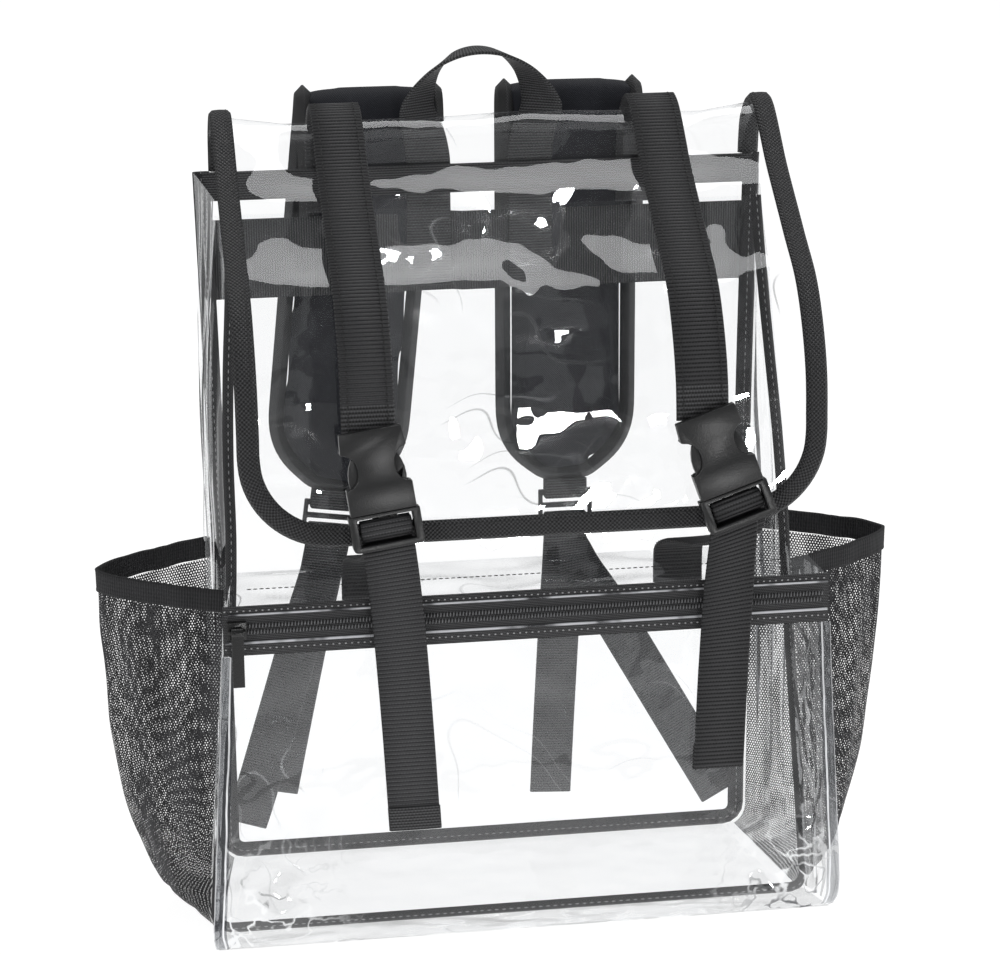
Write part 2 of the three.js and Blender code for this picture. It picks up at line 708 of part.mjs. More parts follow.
function makePocket() {
  const rows = [0.06, 0.067, 0.08, 0.1, 0.14, 0.2, 0.35, 0.5, 0.7];
  const heights = [...rows.map((share) => share * POCKET_HEIGHT), ZIP_LOW - GAP];
  const face = heights.map((z) =>
    grid(0, 8, (_, share) => {
      const half = pocketHalf(z) + PVC / 2;
      return vec(lerp(-half, half, share), pocketOut(z), z);
    })[0],
  );
  add("pocket_front", sheet(face, PVC), pvc);

  const inside = PVC / 2 + GAP;
  const topZ = POCKET_HEIGHT - PVC / 2;
  for (const { name, side } of SIDES) {
    const points = grid(10, 5, (u, v) => {
      const rear = SEAM_WIDTH / 2;
      const low = lerp(rear, POCKET_FLOOR, v) + inside + PVC / 2;
      const z = lerp(low, topZ - inside, u * u * 0.4 + u * 0.6);
      const front = Math.max(pocketOut(z), TAPE_Y) + inside + PVC / 2;
      const x = lerp(frontHalf(z) - SEAM_WIDTH / 2, pocketHalf(z), v);
      return vec(side * x, lerp(SEAM_FRONT, front, v), z);
    });
    add(`pocket_side_${name}`, sheet(points, PVC), pvc);
  }

  const floor = grid(3, 6, (u, v) => {
    const z = lerp(SEAM_WIDTH / 2, POCKET_FLOOR, u);
    const rearHalfWidth = frontHalf(0) - SEAM_WIDTH / 2;
    const half = lerp(rearHalfWidth, pocketHalf(POCKET_FLOOR), u) - inside;
    const y = lerp(SEAM_FRONT, pocketOut(POCKET_FLOOR) + inside + GAP, u);
    return vec(lerp(-half, half, v), y, z);
  });
  add("pocket_bottom", sheet(floor, PVC), pvc);

  const lid = grid(3, 6, (u, v) => {
    const half = lerp(frontHalf(topZ) - SEAM_WIDTH / 2, POCKET_HALF, u) - inside;
    const y = lerp(-inside, TAPE_Y + inside, u);
    return vec(lerp(-half, half, v), y, topZ);
  });
  let top = solid(sheet(lid, PVC));
  for (const { anchor } of SIDES) {
    const half = STRAP_WIDTH / 2 + GAP;
    const low = [BODY_HALF * anchor - half, -8, topZ - 2];
    const high = [BODY_HALF * anchor + half, 1, topZ + 2];
    top = top.subtract(block(low, high));
  }
  add("pocket_top", geometryOf(top), pvc);
}

function makeZipper() {
  const tape = grid(1, 8, (u, v) => {
    const half = POCKET_HALF + PVC / 2;
    return vec(lerp(-half, half, v), TAPE_Y, lerp(ZIP_LOW, POCKET_HEIGHT, u));
  });
  add("zipper_tape", sheet(tape, PVC), webbing);

  const face = TAPE_Y - PVC / 2 - GAP;
  const sliderX = -POCKET_HALF + SLIDER_WIDTH * 0.65;
  const start = sliderX + SLIDER_WIDTH / 2 + GAP;
  const end = POCKET_HALF - 3;
  const coilBox = new THREE.BoxGeometry(end - start, COIL_THICK, COIL_HEIGHT);
  coilBox.translate((start + end) / 2, face - COIL_THICK / 2, COIL_Z);
  add("zipper_coil", coilBox, coil);

  const pin = 0.8;
  const pinY = face - SLIDER_THICK - 2.6;
  const post = 3.4;
  const low = COIL_Z - SLIDER_HEIGHT / 2;
  const body = block(
    [sliderX - SLIDER_WIDTH / 2, face - SLIDER_THICK, low],
    [sliderX + SLIDER_WIDTH / 2, face, low + SLIDER_HEIGHT],
  );
  const bridge = (from, to) =>
    block([sliderX + from, pinY - pin, COIL_Z - pin], [sliderX + to, face - 1, COIL_Z + pin]);
  const rod = block(
    [sliderX - post - 1, pinY - pin, COIL_Z - pin],
    [sliderX + post + 1, pinY + pin, COIL_Z + pin],
  );
  const slider = body.add(bridge(-post - 1, -post)).add(bridge(post, post + 1)).add(rod);
  add("zipper_slider", geometryOf(slider), plastic);

  const eye = 2.4;
  const sleeve = 2 * (post - GAP);
  const knuckle = new THREE.CylinderGeometry(eye, eye, sleeve, 12).rotateZ(Math.PI / 2);
  const bore = new THREE.CylinderGeometry(1.5, 1.5, sleeve + 2, 12).rotateZ(Math.PI / 2);
  const tab = block(
    [-PULL_WIDTH / 2 + 0.4, -PULL_THICK / 2, -PULL_LENGTH],
    [PULL_WIDTH / 2 - 0.4, PULL_THICK / 2, -eye + 0.5],
  );
  const pull = add(
    "zipper_pull",
    geometryOf(solid(knuckle).add(tab).subtract(solid(bore))),
    plastic,
  );
  pull.position.set(sliderX, pinY, COIL_Z);
}

// Side pockets of knitted mesh with an elastic hem

function sidePocketGrid(side, heights, lift, columns) {
  const curve = BODY_CORNER + lift;
  const centre = FLOOR + BODY_CORNER;
  return heights.map((z) =>
    grid(0, columns, (_, share) => {
      const wall = sideHalf(z, share);
      const below = Math.max(centre - z, 0);
      const base = wall - BODY_CORNER + Math.sqrt(curve * curve - below * below);
      const out = SIDE_POCKET_REACH * read(BELLY_ROWS, "height", "out", z / SIDE_POCKET_HEIGHT);
      const arch = 1 - Math.pow(Math.abs(2 * share - 1), SIDE_POCKET_ROUND);
      const y = lerp(frontY(z) + SIDE_START + GAP, BODY_DEPTH - SIDE_START, share);
      return vec(side * (base + out * arch), y, z);
    })[0],
  );
}

function makeSidePockets() {
  const shares = [0.0045, 0.008, 0.015, 0.03, 0.055, 0.1, 0.2, 0.33, 0.5, 0.7];
  const hem = SIDE_POCKET_HEIGHT - ELASTIC_HEIGHT;
  const heights = [...shares.map((share) => share * SIDE_POCKET_HEIGHT), hem];
  for (const { name, side } of SIDES) {
    const lift = PVC / 2 + GAP + MESH / 2;
    add(`mesh_pocket_${name}`, sheet(sidePocketGrid(side, heights, lift, 14), MESH), meshCloth);
    const band = [hem + 2 * GAP, SIDE_POCKET_HEIGHT];
    const bandLift = PVC / 2 + GAP + WEBBING / 2;
    const elastic = sheet(sidePocketGrid(side, band, bandLift, 14), WEBBING);
    add(`mesh_elastic_${name}`, elastic, webbing);
  }
}

// Back: a band inside the rim, a wide band over the handle's legs, the handle and the straps

const OUTSIDE = BODY_DEPTH + PVC / 2 + GAP;
const LEG_Y = OUTSIDE + WEBBING / 2;
const BAND_OVER = LEG_Y + WEBBING + GAP;
const PAD_Y = BAND_OVER + WEBBING / 2 + GAP + PAD_THICK / 2;
const HANG_Y = PAD_Y + 2 * PAD_TURN;
const BAND_HALF = BODY_HALF - SEAM_WIDTH;

function makeBands() {
  const low = BODY_HEIGHT - RIM_BAND_HEIGHT;
  const y = BODY_DEPTH - SEAM_THICK / 2 - GAP - WEBBING / 2 - 0.4;
  const rim = grid(1, 1, (u, v) => {
    return vec(lerp(-BODY_HALF, BODY_HALF, v) * 0.99, y, low + RIM_BAND_HEIGHT * u);
  });
  add("rear_rim_band", sheet(rim, WEBBING), webbing);

  const near = HANDLE_LEG - HANDLE_WIDTH / 2;
  const far = HANDLE_LEG + HANDLE_WIDTH / 2;
  const ease = 5;
  const places = [-BAND_HALF, -far - ease - 1, -far - 1, -near + 1, -near + 1 + ease];
  const across = [...places, ...places.map((x) => -x).reverse()];
  const over = (x) => Math.abs(x) < far + 2 && Math.abs(x) > near - 2;
  const band = across.map((x) => {
    const depth = over(x) ? BAND_OVER : LEG_Y;
    return [vec(x, depth, BACK_BAND_TOP - BACK_BAND_HEIGHT), vec(x, depth, BACK_BAND_TOP)];
  });
  add("back_band", sheet(band, WEBBING), webbing);
}

function makeHandle() {
  const foot = BACK_BAND_TOP - BACK_BAND_HEIGHT + 3;
  const top = HANDLE_TOP - WEBBING / 2;
  const turn = (degrees) => vec(Math.cos(radians(degrees)), Math.sin(radians(degrees)), 0);
  const lean = HANDLE_WIDTH * 0.16;
  const half = [
    { x: -HANDLE_LEG, y: LEG_Y, z: foot, across: turn(0) },
    { x: -HANDLE_LEG, y: LEG_Y, z: BACK_BAND_TOP + 12, across: turn(0) },
    { x: -HANDLE_LEG, y: LEG_Y, z: BODY_HEIGHT + 3, across: turn(0) },
    { x: lerp(-HANDLE_LEG, -HANDLE_SPREAD, 0.3), y: LEG_Y + 0.6, z: BODY_HEIGHT + 16, across: turn(10) },
    { x: -HANDLE_SPREAD, y: LEG_Y - lean, z: lerp(BODY_HEIGHT, top, 0.52), across: turn(34) },
    { x: -HANDLE_SPREAD * 0.78, y: LEG_Y - lean, z: lerp(BODY_HEIGHT, top, 0.79), across: turn(62) },
    { x: -HANDLE_SPREAD * 0.42, y: LEG_Y - lean, z: lerp(BODY_HEIGHT, top, 0.95), across: turn(80) },
    { x: 0, y: LEG_Y - lean, z: top, across: turn(90) },
  ];
  const mirrored = half.slice(0, -1).reverse().map((row) => {
    const across = vec(-row.across.x, row.across.y, 0);
    return { ...row, x: -row.x, across };
  });
  const stations = [...half, ...mirrored].map(({ x, y, z, across }) => ({ at: vec(x, y, z), across }));
  add("carry_handle", ribbon(eased(stations, 4), HANDLE_WIDTH, WEBBING), webbing);
}

// A shoulder pad: sewn over the wide band, up, over and down behind, with a round lower end.
function makePad(row) {
  const start = BACK_BAND_TOP - BACK_BAND_HEIGHT;
  const crest = PAD_TOP - PAD_THICK / 2 - PAD_TURN;
  const [padX, endX] = [BODY_HALF * row.pad, BODY_HALF * row.padEnd];
  const places = [];
  for (const z of [start, lerp(start, crest, 0.4), lerp(start, crest, 0.8), crest]) {
    places.push(vec(padX, PAD_Y, z));
  }
  const turnSteps = 6;
  for (let i = 1; i <= turnSteps; i++) {
    const angle = (Math.PI * i) / turnSteps;
    const y = PAD_Y + PAD_TURN * (1 - Math.cos(angle));
    places.push(vec(padX, y, crest + PAD_TURN * Math.sin(angle)));
  }
  const round = PAD_WIDTH / 2;
  const length = crest - PAD_END;
  const drops = [0.12, 0.26, 0.4, 0.54, 0.68, 0.8];
  const arcs = [1, 0.82, 0.6, 0.4, 0.22, 0.1, 0.03, 0].map((share) => 1 - (share * round) / length);
  const downs = [...drops, ...arcs.filter((share) => share > 0.81)];
  const halves = places.map(() => round);
  for (const share of downs) {
    places.push(vec(lerp(padX, endX, share), HANG_Y, lerp(crest, PAD_END, share)));
    const toEnd = Math.min(((1 - share) * length) / round, 1);
    const circle = Math.sqrt(Math.max(1 - (1 - toEnd) * (1 - toEnd), 0));
    halves.push(Math.max(round * circle, LOOP_WIDTH / 2 + 2));
  }
  const columns = 6;
  const tilt = (i) => radians(Math.max(i - turnSteps, 0) > 3 ? row.padTilt : 0);
  const points = places.map((at, i) =>
    grid(0, columns, (_, share) => {
      const offset = lerp(-1, 1, share) * halves[i];
      const across = vec(Math.cos(tilt(i)), 0, Math.sin(tilt(i)) * row.side);
      return at.clone().addScaledVector(across, offset);
    })[0],
  );
  const last = places.length - 1;
  const crown = (i, j) => {
    const edge = Math.abs(j / columns - 0.5) * 2;
    const rim = i === 0 || i === last ? 0.5 : 1;
    return PAD_THICK * rim * (1 - 0.5 * Math.pow(edge, 4));
  };
  add(`shoulder_pad_${row.name}`, sheet(points, crown), padCloth);
}

// The lock on the pad's end, in its own frame: x across, z up from its middle.
function lockSolid() {
  const half = [LOCK_WIDTH / 2, LOCK_THICK / 2, LOCK_HEIGHT / 2];
  const slot = (LOCK_HEIGHT - 3 * LOCK_BAR) / 2;
  const open = LOOP_WIDTH / 2 + 1;
  let lock = block(half.map((v) => -v), half);
  for (const z of [LOCK_BAR / 2, -LOCK_BAR / 2 - slot]) {
    lock = lock.subtract(block([-open, -LOCK_THICK, z], [open, LOCK_THICK, z + slot]));
  }
  return lock;
}

// A webbing that goes round one bar of the lock: both its legs run along the lock's z.
function turnAt(frame, z, reach, towards) {
  const across = vec(1, 0, 0).transformDirection(frame.matrix);
  const leg = LOCK_THICK / 2 + GAP + WEBBING / 2;
  const edge = z + towards * (LOCK_BAR / 2 + GAP + WEBBING / 2);
  const places = [
    [-leg, z - towards * reach],
    [-leg, z],
    [-leg * 0.87, z + (edge - z) * 0.87],
    [0, edge],
    [leg * 0.87, z + (edge - z) * 0.87],
    [leg, z],
    [leg, z - towards * reach],
  ];
  return places.map(([y, up]) => ({ at: vec(0, y, up).applyMatrix4(frame.matrix), across }));
}

function makeLowerEnd(row) {
  const frame = new THREE.Group();
  const loopReach = 9;
  const drop = LOCK_HEIGHT / 2 + loopReach - LOCK_BAR / 2;
  const lean = radians(row.padTilt);
  const x = BODY_HALF * row.padEnd + row.side * drop * Math.sin(lean);
  frame.position.set(x, HANG_Y, PAD_END - GAP - drop * Math.cos(lean));
  frame.rotation.y = -row.side * lean;
  frame.updateMatrix();
  group.add(frame);
  add(`ladder_lock_${row.name}`, geometryOf(lockSolid()), plastic, frame);

  const topBar = LOCK_HEIGHT / 2 - LOCK_BAR / 2;
  const loop = turnAt(frame, topBar, loopReach - 0.4, -1);
  add(`pad_loop_${row.name}`, ribbon(eased(loop, 2), LOOP_WIDTH, WEBBING), webbing);

  const around = turnAt(frame, -topBar, 12, 1);
  const first = around[0].at;
  const seat = BODY_DEPTH + SEAM_THICK / 2 + GAP + WEBBING / 2;
  const footX = row.side * (BODY_HALF - 14);
  const footZ = 20;
  const diagonal = vec(footX - first.x, 0, footZ - first.z).normalize();
  const across = vec(-diagonal.z, 0, diagonal.x);
  const foot = vec(footX, seat, footZ);
  const above = foot.clone().addScaledVector(diagonal, -16);
  const between = (share, y) => vec(lerp(footX, first.x, share), y, lerp(footZ, first.z, share));
  const last = around[around.length - 1].at;
  const [tailX, tailZ] = [BODY_HALF * row.webTail, BODY_HEIGHT * row.webTailEnd];
  const tail = (share) => {
    const slack = Math.sin(Math.PI * share) * 2;
    return {
      at: vec(lerp(last.x, tailX, share), last.y + slack, lerp(last.z, tailZ, share)),
      across: vec(1, 0, (tailX - last.x) / (last.z - tailZ)).normalize(),
    };
  };
  const stations = [
    { at: foot, across },
    { at: above, across },
    { at: between(0.35, lerp(seat, first.y, 0.28)), across },
    { at: between(0.7, lerp(seat, first.y, 0.72)), across },
    ...around,
    tail(0.35),
    tail(0.7),
    tail(1),
  ];
  add(`lower_webbing_${row.name}`, ribbon(eased(stations, 3), LOOP_WIDTH, WEBBING), webbing);
}

makePanels();
makeSeams();
makeFlap();
makeStraps();
makeBuckles();
makePocket();
makeZipper();
makeSidePockets();
makeBands();
makeHandle();
for (const row of SIDES) {
  makePad(row);
  makeLowerEnd(row);
}

// The part's own frame stands at the middle of its box, on its lowest point.
const box = new THREE.Box3().setFromObject(group, true);
const middle = box.getCenter(new THREE.Vector3());
group.position.set(-middle.x, -middle.y, -box.min.z);

export default group;
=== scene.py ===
"""Looks of a clear backpack: film panels, ribbed webbing, moulded buckles, mesh and pads.

Metres. X runs to the right, Y to the back and Z up. The bag stands on Z = 0.
"""

import math

import bmesh
import bpy
import numpy as np
from mathutils import Matrix, Vector, noise


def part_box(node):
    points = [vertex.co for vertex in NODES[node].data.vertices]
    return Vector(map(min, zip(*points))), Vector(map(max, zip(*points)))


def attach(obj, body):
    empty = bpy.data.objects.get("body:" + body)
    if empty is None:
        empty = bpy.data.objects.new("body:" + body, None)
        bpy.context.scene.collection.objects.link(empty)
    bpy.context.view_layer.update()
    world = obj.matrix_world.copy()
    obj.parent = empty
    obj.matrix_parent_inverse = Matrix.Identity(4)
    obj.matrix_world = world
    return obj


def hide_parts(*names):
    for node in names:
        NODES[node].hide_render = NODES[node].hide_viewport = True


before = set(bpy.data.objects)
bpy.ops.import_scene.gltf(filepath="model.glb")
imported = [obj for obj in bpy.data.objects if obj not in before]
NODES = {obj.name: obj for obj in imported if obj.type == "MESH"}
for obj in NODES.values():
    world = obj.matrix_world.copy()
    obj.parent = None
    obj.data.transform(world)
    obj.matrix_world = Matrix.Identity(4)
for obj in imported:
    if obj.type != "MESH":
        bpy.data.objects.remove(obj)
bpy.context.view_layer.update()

bl_info = {
    "name": "Clear backpack",
    "version": (1, 0, 0),
    "blender": (4, 5, 0),
    "location": "3D View > Sidebar > Backpack",
    "description": "Dresses the packed solids of a clear backpack",
    "category": "Object",
}

SIDES = ("left", "right")
MM = 0.001


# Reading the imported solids


def corners_of(node):
    """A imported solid's corners without doubles, and its triangles."""
    mesh = NODES[node].data
    points = np.array([v.co for v in mesh.vertices])
    _, first, index = np.unique(np.round(points, 5), axis=0, return_index=True, return_inverse=True)
    index = index.reshape(-1)
    return points[first], index[np.array([p.vertices for p in mesh.polygons])]


def rows_of(node, count, score):
    """A solid's corners row by row. The first row is the count corners that score highest."""
    points, triangles = corners_of(node)
    near = [set() for _ in points]
    for a, b, c in triangles:
        near[a] |= {b, c}
        near[b] |= {a, c}
        near[c] |= {a, b}
    row = set(np.argsort(-score(points))[:count].tolist())
    seen, rows = set(), []
    while row:
        rows.append(points[sorted(row)])
        seen |= row
        row = set().union(*(near[i] for i in row)) - seen
    return rows


def wall_grid(node, columns, score, across):
    """The middle of a solid wall as a grid of points."""
    side = np.array(across, float)
    grid = []
    for row in rows_of(node, 2 * columns, score):
        if len(row) != 2 * columns:
            raise RuntimeError(f"{node} has a row of {len(row)} corners, not {2 * columns}")
        row = row[np.argsort(row @ side)]
        grid.append(row.reshape(columns, 2, 3).mean(1))
        side = grid[-1][-1] - grid[-1][0]
    return np.array(grid)


def strip_line(node, count, start, face=None):
    """A solid strip's middle line: places, directions across it and out of its face. The face
    is read from the strip's corners when it isn't given."""
    start = np.array(start) * MM
    rows = rows_of(node, count, lambda p: -np.linalg.norm(p - start, axis=1))
    places, sides, outs = [], [], []
    for row in rows:
        middle = row.mean(0)
        _, _, axes = np.linalg.svd(row - middle)
        side, out = axes[0], axes[1]
        if sides:
            side = side if side @ sides[-1] > 0 else -side
            out = out if out @ outs[-1] > 0 else -out
        places.append(middle)
        sides.append(side)
        outs.append(out)
    places, sides, outs = np.array(places), np.array(sides), np.array(outs)
    if face is not None:
        step = unit(np.gradient(places, axis=0))
        outs = unit(np.array(face) - step * (step @ np.array(face))[:, None])
        sides = np.cross(outs, step)
    return places, sides, outs


# Curves and grids


def unit(vectors):
    length = np.linalg.norm(vectors, axis=-1, keepdims=True)
    return vectors / np.maximum(length, 1e-12)


def along(points):
    """Distance along a line of points, or along a grid's rows."""
    steps = np.linalg.norm(np.diff(points, axis=0), axis=-1)
    steps = steps.reshape(len(steps), -1).mean(1)
    return np.concatenate([[0], np.cumsum(steps)])


def stepped(values, at):
    """The values with a step added at both ends of each long gap, to keep it straight."""
    places = set(at.tolist())
    for k in range(len(at) - 1):
        gap = at[k + 1] - at[k]
        if k > 0 and gap > 2.5 * (at[k] - at[k - 1]):
            places.add(at[k] + (at[k] - at[k - 1]))
        if k < len(at) - 2 and gap > 2.5 * (at[k + 2] - at[k + 1]):
            places.add(at[k + 1] - (at[k + 2] - at[k + 1]))
    places = np.array(sorted(places))
    flat = values.reshape(len(at), -1)
    flat = np.stack([np.interp(places, at, column) for column in flat.T], -1)
    return flat.reshape(len(places), *values.shape[1:]), places


def smooth(values, at, new):
    """Values at new distances, on a smooth curve through values at the old ones."""
    values, at = stepped(values, at)
    shape = (-1,) + (1,) * (values.ndim - 1)
    gaps = np.diff(at).reshape(shape)
    slopes = np.diff(values, axis=0) / gaps
    tangents = np.empty_like(values)
    tangents[0], tangents[-1] = slopes[0], slopes[-1]
    tangents[1:-1] = (gaps[1:] * slopes[:-1] + gaps[:-1] * slopes[1:]) / (gaps[1:] + gaps[:-1])
    k = np.clip(np.searchsorted(at, new, side="right") - 1, 0, len(at) - 2)
    t = ((new - at[k]) / (at[k + 1] - at[k])).reshape(shape)
    gap = gaps[k]
    start, end = values[k], values[k + 1]
    return (
        start * (1 + 2 * t) * (1 - t) ** 2
        + gap * tangents[k] * t * (1 - t) ** 2
        + end * t * t * (3 - 2 * t)
        - gap * tangents[k + 1] * t * t * (1 - t)
    )


def refined(grid, rows, columns):
    """The same surface on a finer, evenly spaced grid."""
    at = along(grid)
    grid = smooth(grid, at, np.linspace(0, at[-1], rows))
    flat = grid.swapaxes(0, 1)
    at = along(flat)
    return smooth(flat, at, np.linspace(0, at[-1], columns)).swapaxes(0, 1)


def even_line(line, step):
    """A strip's line with its stations set evenly, about a step apart."""
    places, sides, outs = line
    at = along(places)
    new = np.linspace(0, at[-1], max(2, round(at[-1] / step) + 1))
    sides = unit(smooth(sides, at, new))
    outs = smooth(outs, at, new)
    outs = unit(outs - sides * (outs * sides).sum(1, keepdims=True))
    return smooth(places, at, new), sides, outs


def relaxed(line, times):
    """A strip's line with its bends rounded off."""
    places, sides, outs = line
    for _ in range(times):
        for rows in (places, sides, outs):
            rows[1:-1] = (rows[:-2] + 2 * rows[1:-1] + rows[2:]) / 4
    return places, unit(sides), unit(outs)


def normals_of(grid):
    """Unit normals of a grid of points."""
    down = np.gradient(grid, axis=0)
    across = np.gradient(grid, axis=1)
    return unit(np.cross(down, across))


def rippled(grid, waves, seed, under=0.0):
    """The grid moved along its normals by soft noise. A wave is (depth mm, sizes mm down and
    across, fade), where fade makes shares from the places down and across the grid. Under
    is how far it is all set back, as a share of its highest wave."""
    down = np.repeat(along(grid)[:, None], grid.shape[1], 1)
    over = np.repeat(along(grid.swapaxes(0, 1))[None], grid.shape[0], 0)
    u = np.linspace(0, 1, grid.shape[0])[:, None]
    v = np.linspace(0, 1, grid.shape[1])[None]
    lift = np.zeros(grid.shape[:2])
    for depth, tall, wide, fade in waves:
        field = np.array(
            [
                noise.noise(Vector((a / tall / MM, b / wide / MM, seed)))
                for a, b in zip(down.ravel(), over.ravel())
            ]
        ).reshape(lift.shape)
        lift += depth * MM * field * fade(u, v)
        seed += 7.3
    return grid + normals_of(grid) * (lift - under * lift.max())[..., None]


def tilted(grid, patches):
    """The grid with patches tilted back: (distance down and half height in mm, first and last
    share across, degrees)."""
    down = along(grid)[:, None] / MM
    v = np.linspace(0, 1, grid.shape[1])[None]
    u = np.linspace(0, 1, grid.shape[0])[:, None]
    slope = np.zeros(grid.shape[:2])
    for centre, half, first, last, degrees in patches:
        over = np.clip((v - first) / 0.05, 0, 1) * np.clip((last - v) / 0.05, 0, 1)
        slope += math.radians(degrees) * np.exp(-(((down - centre) / half) ** 4)) * over
    steps = np.diff(down, axis=0, prepend=down[:1]) * MM
    lift = np.cumsum(slope * steps, axis=0)
    lift = (lift - lift.max()) * inside(u, v)
    return grid + normals_of(grid) * lift[..., None]


def inside(u, v):
    """1 over most of a grid and 0 at its borders."""
    return np.clip(np.minimum(u, 1 - u) * 8, 0, 1) * np.clip(np.minimum(v, 1 - v) * 8, 0, 1)


# Making pieces


def piece(name, points, faces, uvs=None, material=None, smooth_faces=True):
    """A new object with its place in its mesh. uvs has one row for each point."""
    mesh = bpy.data.meshes.new(name)
    mesh.from_pydata([tuple(p) for p in points], [], [tuple(map(int, f)) for f in faces])
    mesh.validate()
    mesh.update()
    if uvs is not None:
        layer = mesh.uv_layers.new(name="UVMap")
        index = np.zeros(len(mesh.loops), int)
        mesh.loops.foreach_get("vertex_index", index)
        layer.data.foreach_set("uv", np.asarray(uvs, float)[index].ravel())
    mesh.polygons.foreach_set("use_smooth", [smooth_faces] * len(mesh.polygons))
    item = bpy.data.objects.new(name, mesh)
    bpy.context.scene.collection.objects.link(item)
    if material:
        mesh.materials.append(material)
    return item


def quads(rows, columns, offset=0, flip=False):
    faces = []
    for i in range(rows - 1):
        for j in range(columns - 1):
            a = offset + i * columns + j
            face = (a, a + 1, a + columns + 1, a + columns)
            faces.append(face[::-1] if flip else face)
    return faces


def grid_uv(grid):
    down = np.repeat(along(grid)[:, None], grid.shape[1], 1)
    over = np.repeat(along(grid.swapaxes(0, 1))[None], grid.shape[0], 0)
    return np.stack([over, down], -1).reshape(-1, 2)


def sheet_piece(name, grid, material, wall=0.0):
    """A sheet on a grid of points: one layer, or a closed wall."""
    rows, columns = grid.shape[:2]
    uv = grid_uv(grid)
    if not wall:
        return piece(name, grid.reshape(-1, 3), quads(rows, columns), uv, material)
    lift = normals_of(grid) * wall / 2
    points = np.concatenate([(grid - lift).reshape(-1, 3), (grid + lift).reshape(-1, 3)])
    count = rows * columns
    faces = quads(rows, columns, 0, True) + quads(rows, columns, count)
    ring = list(range(columns))
    ring += [i * columns + columns - 1 for i in range(1, rows)]
    ring += [(rows - 1) * columns + j for j in range(columns - 2, -1, -1)]
    ring += [i * columns for i in range(rows - 2, 0, -1)]
    for a, b in zip(ring, ring[1:] + ring[:1]):
        faces.append((a, b, b + count, a + count))
    item = piece(name, points, faces, np.concatenate([uv, uv]), material)
    return outward(item)


def outward(item):
    """Turns a closed piece's faces outwards."""
    work = bmesh.new()
    work.from_mesh(item.data)
    bmesh.ops.recalc_face_normals(work, faces=work.faces)
    work.to_mesh(item.data)
    work.free()
    return item


def swept(name, line, section, material):
    """A closed section, (across, out) in metres, along a strip's line."""
    places, sides, outs = line
    section = np.array(section)
    count = len(section)
    points = (
        places[:, None]
        + sides[:, None] * section[None, :, 0, None]
        + outs[:, None] * section[None, :, 1, None]
    )
    distance = along(places)
    edge = np.concatenate([[0], np.cumsum(np.linalg.norm(np.diff(section, axis=0), axis=1))])
    uv = np.stack([np.tile(edge, len(places)), np.repeat(distance, count)], -1)
    faces = []
    for i in range(len(places) - 1):
        for j in range(count):
            a, b = i * count + j, i * count + (j + 1) % count
            faces.append((a, b, b + count, a + count))
    faces.append(tuple(range(count)))
    faces.append(tuple(range((len(places) - 1) * count, len(places) * count)))
    return outward(piece(name, points.reshape(-1, 3), faces, uv, material))


def band_section(width, thick, crown=0.0):
    """A flat band's section with round edges and a slightly raised middle, in metres."""
    half, t = width / 2, thick / 2
    steps = 7
    top = []
    for i in range(steps + 1):
        rise = t + crown * math.sin(math.pi * i / steps)
        top.append((lerp(-half + t, half - t, i / steps), rise))
    low = [(x, -y) for x, y in reversed(top)]
    return [(-half, 0), *top, (half, 0), *low]


def lerp(a, b, t):
    return a + (b - a) * t


def softened(node, name, width, segments=2, angle=30):
    """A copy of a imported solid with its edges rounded."""
    points, triangles = corners_of(node)
    item = piece(name, points, triangles, None, None, False)
    work = bmesh.new()
    work.from_mesh(item.data)
    bmesh.ops.dissolve_limit(
        work, angle_limit=math.radians(1), verts=work.verts, edges=work.edges
    )
    work.to_mesh(item.data)
    work.free()
    bevel = item.modifiers.new("round", "BEVEL")
    bevel.width = width
    bevel.segments = segments
    bevel.limit_method = "ANGLE"
    bevel.angle_limit = math.radians(angle)
    bevel.harden_normals = False
    item.data = plain_mesh(item)
    item.modifiers.clear()
    item.data.polygons.foreach_set("use_smooth", [True] * len(item.data.polygons))
    item.data.set_sharp_from_angle(angle=math.radians(50))
    return item


def plain_mesh(item):
    """The evaluated object as a plain mesh."""
    bpy.context.view_layer.update()
    graph = bpy.context.evaluated_depsgraph_get()
    mesh = bpy.data.meshes.new_from_object(item.evaluated_get(graph))
    mesh.name = item.name
    return mesh


def finish(item, body="bag", stands_for=(), material=None):
    if material:
        item.data.materials.clear()
        item.data.materials.append(material)
    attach(item, body)
    if stands_for:
        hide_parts(*stands_for)
    return item


# Repeats made with geometry nodes


